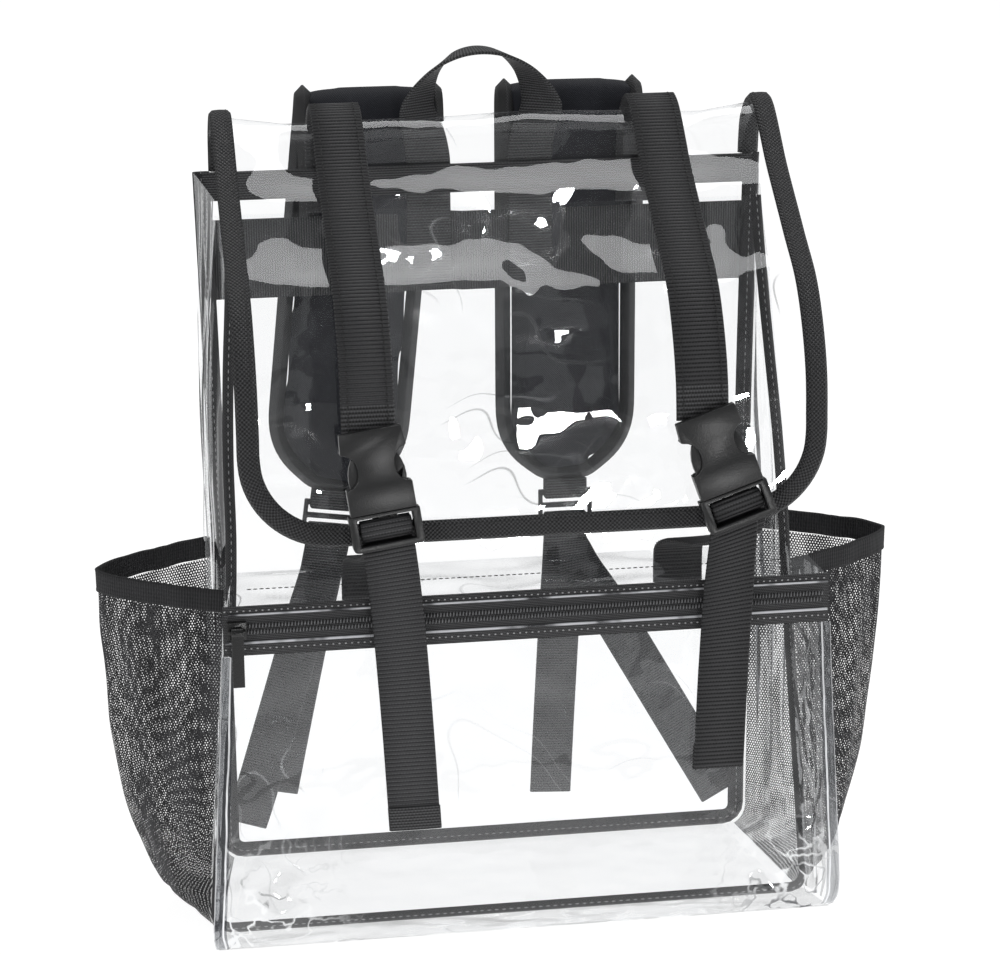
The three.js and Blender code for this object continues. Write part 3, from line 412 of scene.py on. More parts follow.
def repeat_tree(name, primitive):
    """A node tree that sets one small shape on each point, turned to the point's directions."""
    if name in bpy.data.node_groups:
        return bpy.data.node_groups[name]
    tree = bpy.data.node_groups.new(name, "GeometryNodeTree")
    tree.interface.new_socket("Points", in_out="INPUT", socket_type="NodeSocketGeometry")
    for label in ("Length", "Width", "Height"):
        tree.interface.new_socket(label, in_out="INPUT", socket_type="NodeSocketFloat")
    tree.interface.new_socket("Material", in_out="INPUT", socket_type="NodeSocketMaterial")
    tree.interface.new_socket("Result", in_out="OUTPUT", socket_type="NodeSocketGeometry")
    nodes, links = tree.nodes, tree.links
    given = nodes.new("NodeGroupInput")
    made = nodes.new("NodeGroupOutput")
    size = nodes.new("ShaderNodeCombineXYZ")
    for axis, label in zip("XYZ", ("Length", "Width", "Height")):
        links.new(given.outputs[label], size.inputs[axis])
    if primitive == "bead":
        shape = nodes.new("GeometryNodeMeshUVSphere")
        shape.inputs["Segments"].default_value = 8
        shape.inputs["Rings"].default_value = 5
        shape.inputs["Radius"].default_value = 0.5
        shape_out = shape.outputs["Mesh"]
    else:
        shape = nodes.new("GeometryNodeMeshCylinder")
        shape.inputs["Vertices"].default_value = 8
        shape.inputs["Radius"].default_value = 0.5
        shape.inputs["Depth"].default_value = 1.0
        turn = nodes.new("GeometryNodeTransform")
        turn.inputs["Rotation"].default_value = (0, math.pi / 2, 0)
        links.new(shape.outputs["Mesh"], turn.inputs["Geometry"])
        shape_out = turn.outputs["Geometry"]
    shade = nodes.new("GeometryNodeSetShadeSmooth")
    links.new(shape_out, shade.inputs["Geometry"])
    rotation = None
    for axis, label in (("Z", "out"), ("X", "along")):
        read = nodes.new("GeometryNodeInputNamedAttribute")
        read.data_type = "FLOAT_VECTOR"
        read.inputs["Name"].default_value = label
        align = nodes.new("FunctionNodeAlignRotationToVector")
        align.axis = axis
        align.pivot_axis = "AUTO" if rotation is None else "Z"
        links.new(read.outputs["Attribute"], align.inputs["Vector"])
        if rotation is not None:
            links.new(rotation, align.inputs["Rotation"])
        rotation = align.outputs["Rotation"]
    place = nodes.new("GeometryNodeInstanceOnPoints")
    links.new(given.outputs["Points"], place.inputs["Points"])
    links.new(shade.outputs["Geometry"], place.inputs["Instance"])
    links.new(rotation, place.inputs["Rotation"])
    links.new(size.outputs["Vector"], place.inputs["Scale"])
    real = nodes.new("GeometryNodeRealizeInstances")
    links.new(place.outputs["Instances"], real.inputs["Geometry"])
    paint = nodes.new("GeometryNodeSetMaterial")
    links.new(real.outputs["Geometry"], paint.inputs["Geometry"])
    links.new(given.outputs["Material"], paint.inputs["Material"])
    links.new(paint.outputs["Geometry"], made.inputs["Result"])
    return tree


def repeated(name, primitive, places, lengthwise, outs, size, material):
    """Many small shapes, one on each place. size is (length, width, height) in metres."""
    item = piece(name, places, [], None, None)
    for label, vectors in (("along", lengthwise), ("out", outs)):
        layer = item.data.attributes.new(label, "FLOAT_VECTOR", "POINT")
        layer.data.foreach_set("vector", np.asarray(vectors, np.float32).ravel())
    tree = repeat_tree(f"repeat_{primitive}", primitive)
    modifier = item.modifiers.new("repeat", "NODES")
    modifier.node_group = tree
    ids = {s.name: s.identifier for s in tree.interface.items_tree if s.in_out == "INPUT"}
    for label, value in zip(("Length", "Width", "Height"), size):
        modifier[ids[label]] = float(value)
    modifier[ids["Material"]] = material
    item.data = plain_mesh(item)
    item.modifiers.clear()
    for label in ("along", "out"):
        layer = item.data.attributes.get(label)
        if layer:
            item.data.attributes.remove(layer)
    return item


# Materials


class Wire:
    """A node's output with the arithmetic that shader maths needs."""

    def __init__(self, paint, socket):
        self.paint, self.socket = paint, socket

    def maths(self, operation, *values):
        return self.paint.node("ShaderNodeMath", {"operation": operation}, dict(enumerate(values)))

    def __add__(self, other):
        return self.maths("ADD", self, other)

    def __radd__(self, other):
        return self.maths("ADD", other, self)

    def __sub__(self, other):
        return self.maths("SUBTRACT", self, other)

    def __rsub__(self, other):
        return self.maths("SUBTRACT", other, self)

    def __mul__(self, other):
        return self.maths("MULTIPLY", self, other)

    def __rmul__(self, other):
        return self.maths("MULTIPLY", other, self)

    def __truediv__(self, other):
        return self.maths("DIVIDE", self, other)

    def __pow__(self, other):
        return self.maths("POWER", self, other)

    def most(self, other):
        return self.maths("MAXIMUM", self, other)

    def least(self, other):
        return self.maths("MINIMUM", self, other)

    def wave(self):
        """A sine of this value, from 0 to 1."""
        return self.maths("SINE", self) * 0.5 + 0.5

    def part(self):
        """What is over the last whole number."""
        return self.maths("FRACT", self)

    def whole(self):
        """The last whole number under this value."""
        return self.maths("FLOOR", self)

    def size(self):
        return self.maths("ABSOLUTE", self)

    def between(self, low, high):
        """0 below low, 1 above high and smooth between."""
        settings = {"interpolation_type": "SMOOTHSTEP"}
        return self.paint.node("ShaderNodeMapRange", settings, {0: self, 1: low, 2: high})


class Paint:
    """A material's node tree in the making."""

    def __init__(self, name):
        self.material = bpy.data.materials.new(name)
        self.material.use_nodes = True
        self.tree = self.material.node_tree
        self.tree.nodes.clear()

    def node(self, kind, settings=None, inputs=None, output=0):
        node = self.tree.nodes.new(kind)
        for key, value in (settings or {}).items():
            setattr(node, key, value)
        for key, value in (inputs or {}).items():
            if isinstance(value, Wire):
                self.tree.links.new(value.socket, node.inputs[key])
            else:
                node.inputs[key].default_value = value
        return Wire(self, node.outputs[output])

    def spot(self, kind="Object"):
        """Where on the piece: Object or UV coordinates, in metres."""
        return self.node("ShaderNodeTexCoord", output=kind)

    def axes(self, vector):
        node = self.tree.nodes.new("ShaderNodeSeparateXYZ")
        self.tree.links.new(vector.socket, node.inputs[0])
        return [Wire(self, s) for s in node.outputs]

    def scaled(self, vector, x, y, z=1.0):
        return self.node("ShaderNodeMapping", None, {"Vector": vector, "Scale": (x, y, z)})

    def noise(self, vector, scale, detail=2.0, rough=0.5, flat=False):
        inputs = {"Vector": vector, "Scale": scale, "Detail": detail, "Roughness": rough}
        return self.node("ShaderNodeTexNoise", {"noise_dimensions": "2D" if flat else "3D"}, inputs)

    def fields(self, vector, scale, detail=1.0):
        """Three soft fields that have nothing to do with each other."""
        inputs = {"Vector": vector, "Scale": scale, "Detail": detail}
        return self.axes(self.node("ShaderNodeTexNoise", {"noise_dimensions": "2D"}, inputs, 1))

    def colour(self, share, first, second):
        """One colour to another by a share."""
        inputs = {0: share, 6: (*first, 1), 7: (*second, 1)}
        return self.node("ShaderNodeMix", {"data_type": "RGBA"}, inputs, 2)

    def bump(self, height, distance, strength=1.0, base=None):
        inputs = {"Height": height, "Distance": distance, "Strength": strength}
        if base is not None:
            inputs["Normal"] = base
        return self.node("ShaderNodeBump", None, inputs)

    def surface(self, **inputs):
        named = {key.replace("_", " "): value for key, value in inputs.items()}
        return self.node("ShaderNodeBsdfPrincipled", None, named)

    def done(self, shader):
        output = self.tree.nodes.new("ShaderNodeOutputMaterial")
        self.tree.links.new(shader.socket, output.inputs["Surface"])
        return self.material


def once(make):
    """A material that is made on first use and shared after that."""
    kept = {}

    def get(*values):
        if values not in kept:
            kept[values] = make(*values)
        return kept[values]

    return get


@once
def film_paint(name, creases, ripple, stretch, streaks=0.0, crumpled=()):
    """Glossy clear film: see-through, mirror-like at a slant, with ripples, and creases painted as lines of
    painted shade and painted reflection.
    Stretch is how much longer they are downwards than across. Streaks are upright lines of painted shade and
    painted reflection.
    Crumpled is the width and height of a sheet whose lower corners are crumpled; fold lines there are
    painted shade and painted reflection."""
    p = Paint(name)
    spot = p.scaled(p.spot("UV"), 1, 1 / stretch)
    normal = p.bump(p.noise(spot, 34, 1, 0.5, True), 0.0016 * ripple)
    slant = p.node("ShaderNodeLayerWeight", None, {"Blend": 0.5, "Normal": normal}, 1)
    first, second, third = p.fields(spot, 11.0)
    # Crease lines: painted reflection (more mirror) and painted shade (a dark tone) along them.
    line = 1 - ((second - 0.5).size() - 0.03).size().between(0.0, 0.005)
    crease_shade_and_glint = line * third.between(0.66 - 0.2 * creases, 0.74 - 0.16 * creases)
    share = 0.05 + 0.95 * slant**5 + crease_shade_and_glint * (first * 1.1 - 0.3).most(0.05)
    dark = crease_shade_and_glint * first.between(0.42, 0.6) * 0.7
    if streaks:
        u, v, _ = p.axes(p.spot("UV"))
        # Streaks: upright lines of painted reflection and painted shade.
        band = (u * 620 + first * 26).wave() * (u * 250 + third * 14).wave()
        streak_shade_and_glint = band.between(0.6, 0.68) * (1 - v.between(0.32, 0.36)) * streaks
        share = share + streak_shade_and_glint
        dark = dark.most(streak_shade_and_glint * 1.2)
    if crumpled:
        wide, tall = crumpled
        u, v, _ = p.axes(p.spot("UV"))
        # Crumpled corners: a little more mirror over the corners, and fold lines with more mirror and a dark
        # tone, as painted reflection and painted shade.
        corner = (u - wide / 2).size().between(wide * 0.24, wide * 0.44)
        corner = corner * v.between(tall * 0.5, tall * 0.9)
        folds = p.noise(p.spot("UV"), 52, 2, 0.55, True)
        fold = (1 - (folds - 0.5).size().between(0.005, 0.04)) * corner
        share = share + fold * 0.75 + corner * 0.08
        dark = dark.most(fold * first.between(0.4, 0.5))
    # The tone is dark where painted shade falls along creases, streaks and folds, and the bright mirror
    # elsewhere.
    tone = p.colour(dark, (0.98, 0.99, 1.0), (0.04, 0.042, 0.05))
    body = p.surface(Base_Color=tone, Metallic=1.0, Roughness=0.0, Normal=normal)
    clear = p.node("ShaderNodeBsdfTransparent", None, {"Color": (0.982, 0.984, 0.986, 1)})
    return p.done(p.node("ShaderNodeMixShader", None, {0: share.least(1.0), 1: clear, 2: body}))


@once
def film_edge_paint():
    """The film's folded edges, painted: across them lie a strip of painted shade and a painted highlight
    line.
    """
    p = Paint("film_edge")
    u, _, _ = p.axes(p.spot("UV"))
    field = p.noise(p.spot(), 40, 2, 0.5)
    place = u + (field - 0.5) * 0.0018
    # A painted highlight line across the edge, and a painted highlight at its outer rim.
    painted_highlight = place.between(0.0044, 0.0048) * (1 - place.between(0.0054, 0.0058))
    rim_highlight = 1 - place.between(0.0004, 0.0008)
    light = (painted_highlight + rim_highlight * 0.7).least(1.0)
    # Away from the painted highlights the tone is dark, a strip of painted shade.
    tone = p.colour(light, (0.05, 0.053, 0.06), (0.95, 0.96, 0.98))
    share = 0.4 + 0.5 * light + 0.15 * field.between(0.4, 0.6)
    body = p.surface(Base_Color=tone, Metallic=0.5, Roughness=0.08, Normal=p.bump(field, 0.003))
    clear = p.node("ShaderNodeBsdfTransparent", None, {"Color": (0.93, 0.94, 0.96, 1)})
    return p.done(p.node("ShaderNodeMixShader", None, {0: share, 1: clear, 2: body}))


@once
def webbing_paint(name, pitch, cell, depth):
    """Woven webbing: ribs across it and a small weave between them. Rib and thread tops are painted lighter
    and the gaps darker, as painted highlight and painted shade.
    """
    p = Paint(name)
    u, v, _ = p.axes(p.spot("UV"))
    rib = (v * (2 * math.pi / pitch)).wave()
    step = (v * (1 / pitch)).whole()
    thread = (u * (2 * math.pi / cell) + step * math.pi).wave()
    fuzz = p.noise(p.spot(), 900, 2, 0.7)
    height = rib * 0.7 + thread * 0.3 + fuzz * 0.3
    # The tone follows the height: lighter tops are painted highlight, darker gaps are painted shade.
    tone = p.colour((height - 0.3) * 1.4, (0.001, 0.001, 0.0012), (0.075, 0.075, 0.079))
    rough = 0.7 - 0.25 * thread * rib
    return p.done(p.surface(Base_Color=tone, Roughness=rough, Normal=p.bump(height, depth)))


@once
def tape_paint(name, cell, depth):
    """Binding tape in a coarse basket weave, with weave tops painted lighter and the gaps darker, as painted
    highlight and painted shade.
    """
    p = Paint(name)
    u, v, _ = p.axes(p.spot("UV"))
    over = (u * (2 * math.pi / cell)).wave()
    under = (v * (2 * math.pi / cell)).wave()
    weave = over * under + (1 - over) * (1 - under)
    fuzz = p.noise(p.spot(), 700, 2, 0.7)
    height = weave + fuzz * 0.35
    # The tone follows the weave's height: lighter tops are painted highlight, darker gaps are painted shade.
    tone = p.colour((height - 0.35) * 0.9, (0.002, 0.002, 0.0025), (0.085, 0.085, 0.09))
    rough = 0.65 - 0.2 * weave
    return p.done(p.surface(Base_Color=tone, Roughness=rough, Normal=p.bump(height, depth)))


@once
def cloth_paint():
    """Plain-woven polyester over foam."""
    p = Paint("pad_cloth")
    x, _, z = p.axes(p.spot())
    cell = 2 * math.pi / 0.0013
    over, under = (x * cell).wave(), (z * cell).wave()
    weave = over * under + (1 - over) * (1 - under)
    fuzz = p.noise(p.spot(), 1100, 3, 0.7)
    # Paler specks scattered over the cloth.
    specks = p.noise(p.spot(), 420, 4, 0.75).between(0.66, 0.8)
    large = p.noise(p.spot(), 22, 3)
    # Raised weave and fuzz are painted lighter, a painted highlight; the large noise changes the tone at
    # random.
    share = weave * 0.3 + fuzz * 0.3 + large * 0.3
    tone = p.colour(share, (0.006, 0.0065, 0.009), (0.028, 0.03, 0.038))
    specked = {0: specks * 0.3, 6: tone, 7: (0.12, 0.13, 0.15, 1)}
    tone = p.node("ShaderNodeMix", {"data_type": "RGBA"}, specked, 2)
    return p.done(
        p.surface(
            Base_Color=tone,
            Roughness=0.93 - 0.1 * weave,
            Normal=p.bump(weave * 0.6 + fuzz * 0.6, 0.0004),
            Sheen_Weight=0.08,
            Specular_IOR_Level=0.25,
            Sheen_Roughness=0.5,
        )
    )


@once
def knit_paint():
    """Warp-knit mesh: black yarn round small open holes, closer where it is gathered."""
    p = Paint("knit_mesh")
    spot = p.spot("UV")
    u, v, _ = p.axes(spot)
    first, second, third = p.fields(spot, 260.0, 0.0)
    across = u * (1 / 0.0015) + first * 0.4
    row = v * (1 / 0.0015) + second * 0.4
    odd = (row.whole() / 2).part() * 2
    cu = (across + odd * 0.5).part() - 0.5
    cv = row.part() - 0.5
    round_ = cu * cu * 1.6 + cv * cv
    drift = p.noise(p.scaled(spot, 1, 0.16), 48, 1, 0.5, True).between(0.35, 0.65)
    reach = (0.115 - 0.075 * drift + 0.03 * third).most(0.03)
    hole = 1 - round_.between(reach, reach + 0.03)
    tone = p.colour(drift, (0.008, 0.008, 0.009), (0.035, 0.035, 0.038))
    return p.done(p.surface(Base_Color=tone, Roughness=0.75 + 0.15 * third, Alpha=1 - hole))


@once
def elastic_paint():
    """Ribbed elastic at the mesh pockets' hems, with rib tops painted lighter and the gaps darker, as
    painted highlight and painted shade.
    """
    p = Paint("elastic_band")
    u, v, _ = p.axes(p.spot("UV"))
    rib = (u * (2 * math.pi / 0.0016)).wave()
    row = (v * (2 * math.pi / 0.0022)).wave()
    height = rib * 0.7 + row * 0.3 + p.noise(p.spot(), 800, 2) * 0.3
    # The tone follows the rib height: painted highlight on tops, painted shade between.
    tone = p.colour(height * 0.6, (0.008, 0.008, 0.009), (0.04, 0.04, 0.043))
    return p.done(p.surface(Base_Color=tone, Roughness=0.88 - 0.1 * rib, Normal=p.bump(height, 0.0005)))


@once
def plastic_paint(name, tone, rough):
    """Moulded plastic with a fine matte grain and a soft cloudy tone."""
    p = Paint(name)
    grain = p.noise(p.spot(), 1300, 3, 0.6)
    cloud = p.noise(p.spot(), 60, 2)
    dark = tuple(tone * k for k in (0.85, 0.86, 0.9))
    light = tuple(tone * k for k in (1.2, 1.2, 1.24))
    colour = p.colour(cloud, dark, light)
    return p.done(
        p.surface(
            Base_Color=colour,
            Roughness=rough + 0.12 * grain,
            Normal=p.bump(grain, 0.00012),
            Specular_IOR_Level=0.55,
        )
    )


@once
def hem_paint():
    """The film's hem along the zipper, with broken glints painted into its colour: painted highlight between
    dark.
    """
    p = Paint("zipper_hem")
    glint = p.noise(p.spot(), 60, 2).between(0.35, 0.6)
    # Light grey where the painted glints fall, near black between.
    tone = p.colour(glint, (0.03, 0.03, 0.034), (0.6, 0.61, 0.64))
    return p.done(p.surface(Base_Color=tone, Roughness=0.15 + 0.1 * glint, Specular_IOR_Level=0.8))


@once
def thread_paint(name, tone):
    p = Paint(name)
    twist = p.noise(p.spot(), 1500, 2)
    dark = tuple(tone * k for k in (0.6, 0.6, 0.62))
    light = tuple(min(tone * k, 1) for k in (1.5, 1.5, 1.52))
    return p.done(p.surface(Base_Color=p.colour(twist, dark, light), Roughness=0.5 + 0.2 * twist))


# Settings that a user would change


class FilmSettings(bpy.types.PropertyGroup):
    """How the clear film lies."""

    ripple: bpy.props.FloatProperty(
        name="Ripple", description="Depth of the film's fine ripples", default=1.0
    )
    # Creases are lines of painted shade and painted reflection in the film's material.
    creases: bpy.props.FloatProperty(
        name="Creases", description="How many creases show", default=0.25
    )
    slack: bpy.props.FloatProperty(
        name="Slack", description="How far the film's waves stand out", default=0.0022, unit="LENGTH"
    )


class WebbingSettings(bpy.types.PropertyGroup):
    """Webbing, tape and their ribs."""

    thick: bpy.props.FloatProperty(
        name="Thickness", description="Thickness of the webbing", default=0.0018, unit="LENGTH"
    )
    rib_pitch: bpy.props.FloatProperty(
        name="Rib pitch", description="Distance between two ribs", default=0.0022, unit="LENGTH"
    )
    rib_height: bpy.props.FloatProperty(
        name="Rib height", description="How far a rib stands out", default=0.0011, unit="LENGTH"
    )
    stitch: bpy.props.FloatProperty(
        name="Stitch", description="Distance between two stitches", default=0.003, unit="LENGTH"
    )


class HardwareSettings(bpy.types.PropertyGroup):
    """Buckles and zipper."""

    plastic: bpy.props.FloatProperty(
        name="Plastic", description="Lightness of the plastic", default=0.014
    )
    rounding: bpy.props.FloatProperty(
        name="Rounding", description="Radius on the buckles' edges", default=0.0007, unit="LENGTH"
    )
    tooth_pitch: bpy.props.FloatProperty(
        name="Tooth pitch", description="Distance between two teeth", default=0.0017, unit="LENGTH"
    )


class PadSettings(bpy.types.PropertyGroup):
    """Shoulder pads."""

    pressure: bpy.props.FloatProperty(
        name="Pressure", description="Air pressure in the padding", default=4.0
    )
    voxel: bpy.props.FloatProperty(
        name="Voxel", description="Size of the remesh before padding", default=0.0045, unit="LENGTH"
    )
    tape: bpy.props.FloatProperty(
        name="Tape", description="Width of the edge tape", default=0.009, unit="LENGTH"
    )
    tape_thick: bpy.props.FloatProperty(
        name="Tape thickness", description="Thickness over the padded edge", default=0.0072, unit="LENGTH"
    )
    swell: bpy.props.FloatProperty(
        name="Swell", description="Most that a point may move", default=0.005, unit="LENGTH"
    )
    shrink: bpy.props.FloatProperty(
        name="Shrink", description="How much smaller the pad starts", default=0.0008, unit="LENGTH"
    )


class StageSettings(bpy.types.PropertyGroup):
    """Floor, light and camera."""

    floor: bpy.props.FloatProperty(name="Floor", description="Lightness of the floor", default=0.22)
    # The floor's glow is painted light, brighter behind the bag than in front.
    table: bpy.props.FloatProperty(name="Table glow", description="Light from the white table", default=0.93)
    key: bpy.props.FloatProperty(name="Key light", description="Power of the main light", default=20.0)
    world: bpy.props.FloatProperty(name="Room", description="Light from the room", default=0.24)


GROUPS = {
    "bag_film": FilmSettings,
    "bag_webbing": WebbingSettings,
    "bag_hardware": HardwareSettings,
    "bag_pads": PadSettings,
    "bag_stage": StageSettings,
}


# What each sheet of film is: its solid's corners across, where its rows start and which way
# they run, its fine grid, and its waves' depth, height and width in mm


def high(points):
    return points[:, 2]


def west(points):
    return -points[:, 0]


def south(points):
    return points[:, 1]


RIGHTWARDS, BACKWARDS = (1, 0, 0), (0, 1, 0)
FILM_FACTS = ("columns", "first", "across", "fine", "depth", "tall", "wide")
FILM_ROWS = {
    "front_panel": (9, high, RIGHTWARDS, (80, 70), 2.2, 120, 60),
    "back_panel": (9, high, RIGHTWARDS, (70, 60), 1.6, 140, 70),
    "side_panel_left": (9, high, BACKWARDS, (120, 70), 6.0, 190, 15),
    "side_panel_right": (9, high, BACKWARDS, (120, 70), 6.0, 190, 16),
    "bottom_panel": (3, west, BACKWARDS, (50, 20), 0.3, 50, 40),
    "pocket_side_left": (6, high, BACKWARDS, (60, 24), 3.0, 60, 18),
    "pocket_side_right": (6, high, BACKWARDS, (60, 24), 3.0, 60, 18),
    "pocket_bottom": (7, south, RIGHTWARDS, (24, 70), 1.0, 30, 40),
}
FILM = {node: dict(zip(FILM_FACTS, row)) for node, row in FILM_ROWS.items()}
FILM_SLACK = 0.0022


def film_grid(node):
    facts = FILM[node]
    grid = wall_grid(node, facts["columns"], facts["first"], facts["across"])
    return refined(grid, *facts["fine"])


class BAG_OT_body_film(bpy.types.Operator):
    """Makes the body's clear panels"""

    bl_idname = "bag.body_film"
    bl_label = "Body film"

    def execute(self, context):
        s = context.scene.bag_film
        for k, (node, facts) in enumerate(FILM.items()):
            grid = film_grid(node)
            waves = [
                (facts["depth"] * s.slack / FILM_SLACK, facts["tall"], facts["wide"], inside),
                (facts["depth"] * 0.3, facts["tall"] / 3, facts["wide"] / 2.5, inside),
            ]
            grid = rippled(grid, waves, 3.1 * k + 1)
            name, stretch, streaks = "film", 1.0, 0.0
            # Side panels and pocket sides get upright streaks of painted shade and painted reflection.
            if "side_panel" in node:
                name, stretch, streaks = "film_side", 4.0, 0.8
            elif "side" in node:
                name, stretch, streaks = "film_pocket_side", 4.0, 0.5
            paint = film_paint(name, round(s.creases, 3), round(s.ripple, 3), stretch, streaks)
            item = sheet_piece(f"film_{node}", grid, paint)
            finish(item, stands_for=[node])
        return {"FINISHED"}


def flap_grid(rows, columns):
    grid = wall_grid("flap", 7, lambda p: 3 * p[:, 1] - p[:, 2], (1, 0, 0))
    return refined(grid, rows, columns)


def border_of(grid):
    """A flap's border line from the rim down one side, across and up the other: places,
    directions into the sheet and out of its face."""
    normal = normals_of(grid)
    places = np.concatenate([grid[:, 0], grid[-1, 1:-1], grid[::-1, -1]])
    outs = np.concatenate([normal[:, 0], normal[-1, 1:-1], normal[::-1, -1]])
    step = np.gradient(places, axis=0)
    return places, unit(np.cross(outs, step)), outs


class BAG_OT_flap(bpy.types.Operator):
    """Makes the flap, its tape and the tape's stitches"""

    bl_idname = "bag.flap"
    bl_label = "Flap"

    def execute(self, context):
        s = context.scene.bag_film
        plain = flap_grid(110, 90)
        waves = [
            (3.0, 60, 110, inside),
            (1.2, 30, 45, inside),
        ]
        patches = [
            (99, 11, -1, 2, 9),
            (128, 14, -1, 2, -7),
            (163, 16, -1, 0.52, 9),
            (192, 12, -1, 0.52, -10),
        ]
        grid = rippled(tilted(plain, patches), waves, 40.0, 0.8)
        flap = sheet_piece(
            "flap_film", grid, film_paint("film_flap", 0.0, round(s.ripple * 0.7, 3), 1.3)
        )
        finish(flap, stands_for=["flap"])

        line = even_line(strip_line("flap_binding", 8, (-147, 75, 408)), 0.004)
        weave = tape_paint("flap_tape", 0.0023, 0.0009)
        tape = swept("flap_tape", line, band_section(0.0118, 0.0034, 0.0003), weave)
        finish(tape, stands_for=["flap_binding"])
        web = context.scene.bag_webbing
        spaced = even_line(line, web.stitch)
        step = unit(np.gradient(spaced[0], axis=0))
        sets = []
        for face in (-1, 1):
            sets.append(spaced[0] + spaced[1] * 0.0032 + spaced[2] * face * 0.0018)
        stitches = repeated(
            "flap_tape_stitches",
            "bead",
            np.concatenate(sets),
            np.concatenate([step, step]),
            np.concatenate([spaced[2], -spaced[2]]),
            (0.0021, 0.0006, 0.0005),
            thread_paint("black_thread", 0.03),
        )
        finish(stitches)
        return {"FINISHED"}


SEAM_WIDTH, SEAM_STITCH = 0.006, 0.0042


class BAG_OT_seams(bpy.types.Operator):
    """Makes the tapes along the body's edges and their stitches"""

    bl_idname = "bag.seams"
    bl_label = "Edge tapes"

    def execute(self, context):
        seams = [
            ("front_edge_binding", (-143, 16, 399), 0.006),
            ("back_edge_binding", (-157, 75, 412), 0.0095),
        ]
        for node, start, width in seams:
            line = even_line(strip_line(node, 4, start, (0, -1.0, 0)), 0.004)
            paint = tape_paint("edge_tape", 0.0016, 0.0006)
            line = (line[0] + line[1] * (width - SEAM_WIDTH) / 2, line[1], line[2])
            tape = swept(node.replace("binding", "tape"), line, band_section(width, 0.0029, 0.0002), paint)
            finish(tape, stands_for=[node])
            spaced = even_line(line, SEAM_STITCH)
            step = unit(np.gradient(spaced[0], axis=0))
            # These stitches are pale grey, a painted highlight standing in for glints on black thread.
            stitches = repeated(
                node.replace("binding", "stitches"),
                "bead",
                spaced[0] + spaced[2] * 0.0017,
                step,
                spaced[2],
                (0.0024, 0.0005, 0.0005),
                thread_paint("thread_glint", 0.35),
            )
            finish(stitches)
        return {"FINISHED"}


STRAPS = {
    "flap_strap_left": {"start": (-84, 76.5, 380), "width": 28, "ribs": True},
    "flap_strap_right": {"start": (92, 76.5, 380), "width": 28, "ribs": True},
    "adjusting_strap_left": {"start": (-80, -32.3, 188), "width": 27.5, "ribs": True},
    "adjusting_strap_right": {"start": (92, -32.3, 188), "width": 27.5, "ribs": True},
    "carry_handle": {"start": (-29, 76.5, 336), "width": 25, "ribs": False},
    "lower_webbing_left": {"start": (-144, 77.4, 16), "width": 25, "ribs": False},
    "lower_webbing_right": {"start": (144, 77.4, 16), "width": 25, "ribs": False},
    "pad_loop_left": {"start": (-83, 99.7, 220), "width": 25, "ribs": False},
    "pad_loop_right": {"start": (53, 99.7, 219), "width": 25, "ribs": False},
}


class BAG_OT_straps(bpy.types.Operator):
    """Makes the webbing straps with their ribs"""

    bl_idname = "bag.straps"
    bl_label = "Straps"

    def execute(self, context):
        web = context.scene.bag_webbing
        ribbed = webbing_paint("ribbed_webbing", 0.0022, 0.0016, 0.0004)
        plain = webbing_paint("plain_webbing", 0.0016, 0.0018, 0.0005)
        for node, facts in STRAPS.items():
            width = facts["width"] * MM
            raw = strip_line(node, 4, facts["start"])
            line = even_line(raw, 0.002)
            paint = ribbed if facts["ribs"] else plain
            strap = swept(f"{node}_webbing", line, band_section(width, web.thick, 0.0001), paint)
            finish(strap, stands_for=[node])
            if not facts["ribs"]:
                continue
            places, sides, outs = even_line(raw, web.rib_pitch)
            end = -9 if node.startswith("flap") else -1
            places, sides, outs = places[1:end], sides[1:end], outs[1:end]
            lift = outs * web.thick * 0.5
            ribs = repeated(
                f"{node}_ribs",
                "rod",
                np.concatenate([places + lift, places - lift]),
                np.concatenate([sides, sides]),
                np.concatenate([outs, -outs]),
                (width - 0.0012, web.rib_pitch * 0.72, web.rib_height),
                ribbed,
            )
            finish(ribs)
            if node.startswith("flap"):
                places, sides, outs = even_line(raw, web.stitch)
                step = unit(np.gradient(places, axis=0))
                lift = -outs * (web.thick * 0.5 + web.rib_height * 0.45)
                rows = [places + sides * width * k + lift * f for k in (-0.37, 0.37) for f in (-1, 1)]
                faces = [outs * f for k in (-0.37, 0.37) for f in (1, -1)]
                line = repeated(
                    f"{node}_stitches",
                    "bead",
                    np.concatenate(rows),
                    np.tile(step, (4, 1)),
                    np.concatenate(faces),
                    (0.0024, 0.0009, 0.0007),
                    thread_paint("black_thread", 0.02),
                )
                finish(line)
            else:
                # The right strap's line has its face to the front, the left one's to the back.
                front = 1 if node.endswith("right") else -1
                places, sides, outs = (rows[-11:] for rows in even_line(raw, 0.0013))
                hem = (places + outs * front * web.thick * 0.95, sides, outs)
                section = band_section(width + 0.0006, web.thick, 0.0002)
                fold = swept(f"{node}_hem", hem, section, plain)
                finish(fold)
        return {"FINISHED"}


class BAG_OT_buckles(bpy.types.Operator):
    """Rounds the buckles' edges and gives them their plastic"""

    bl_idname = "bag.buckles"
    bl_label = "Buckles"

    def execute(self, context):
        s = context.scene.bag_hardware
        plastic = plastic_paint("buckle_plastic", round(s.plastic, 4), 0.27)
        for side in SIDES:
            for part in ("buckle_socket", "buckle_clip", "ladder_lock"):
                node = f"{part}_{side}"
                item = softened(node, f"{node}_moulding", s.rounding)
                finish(item, stands_for=[node], material=plastic)
        return {"FINISHED"}


STRAP_MIDDLE = {"left": -80, "right": 92}
NOTCH_HALF = 0.0143


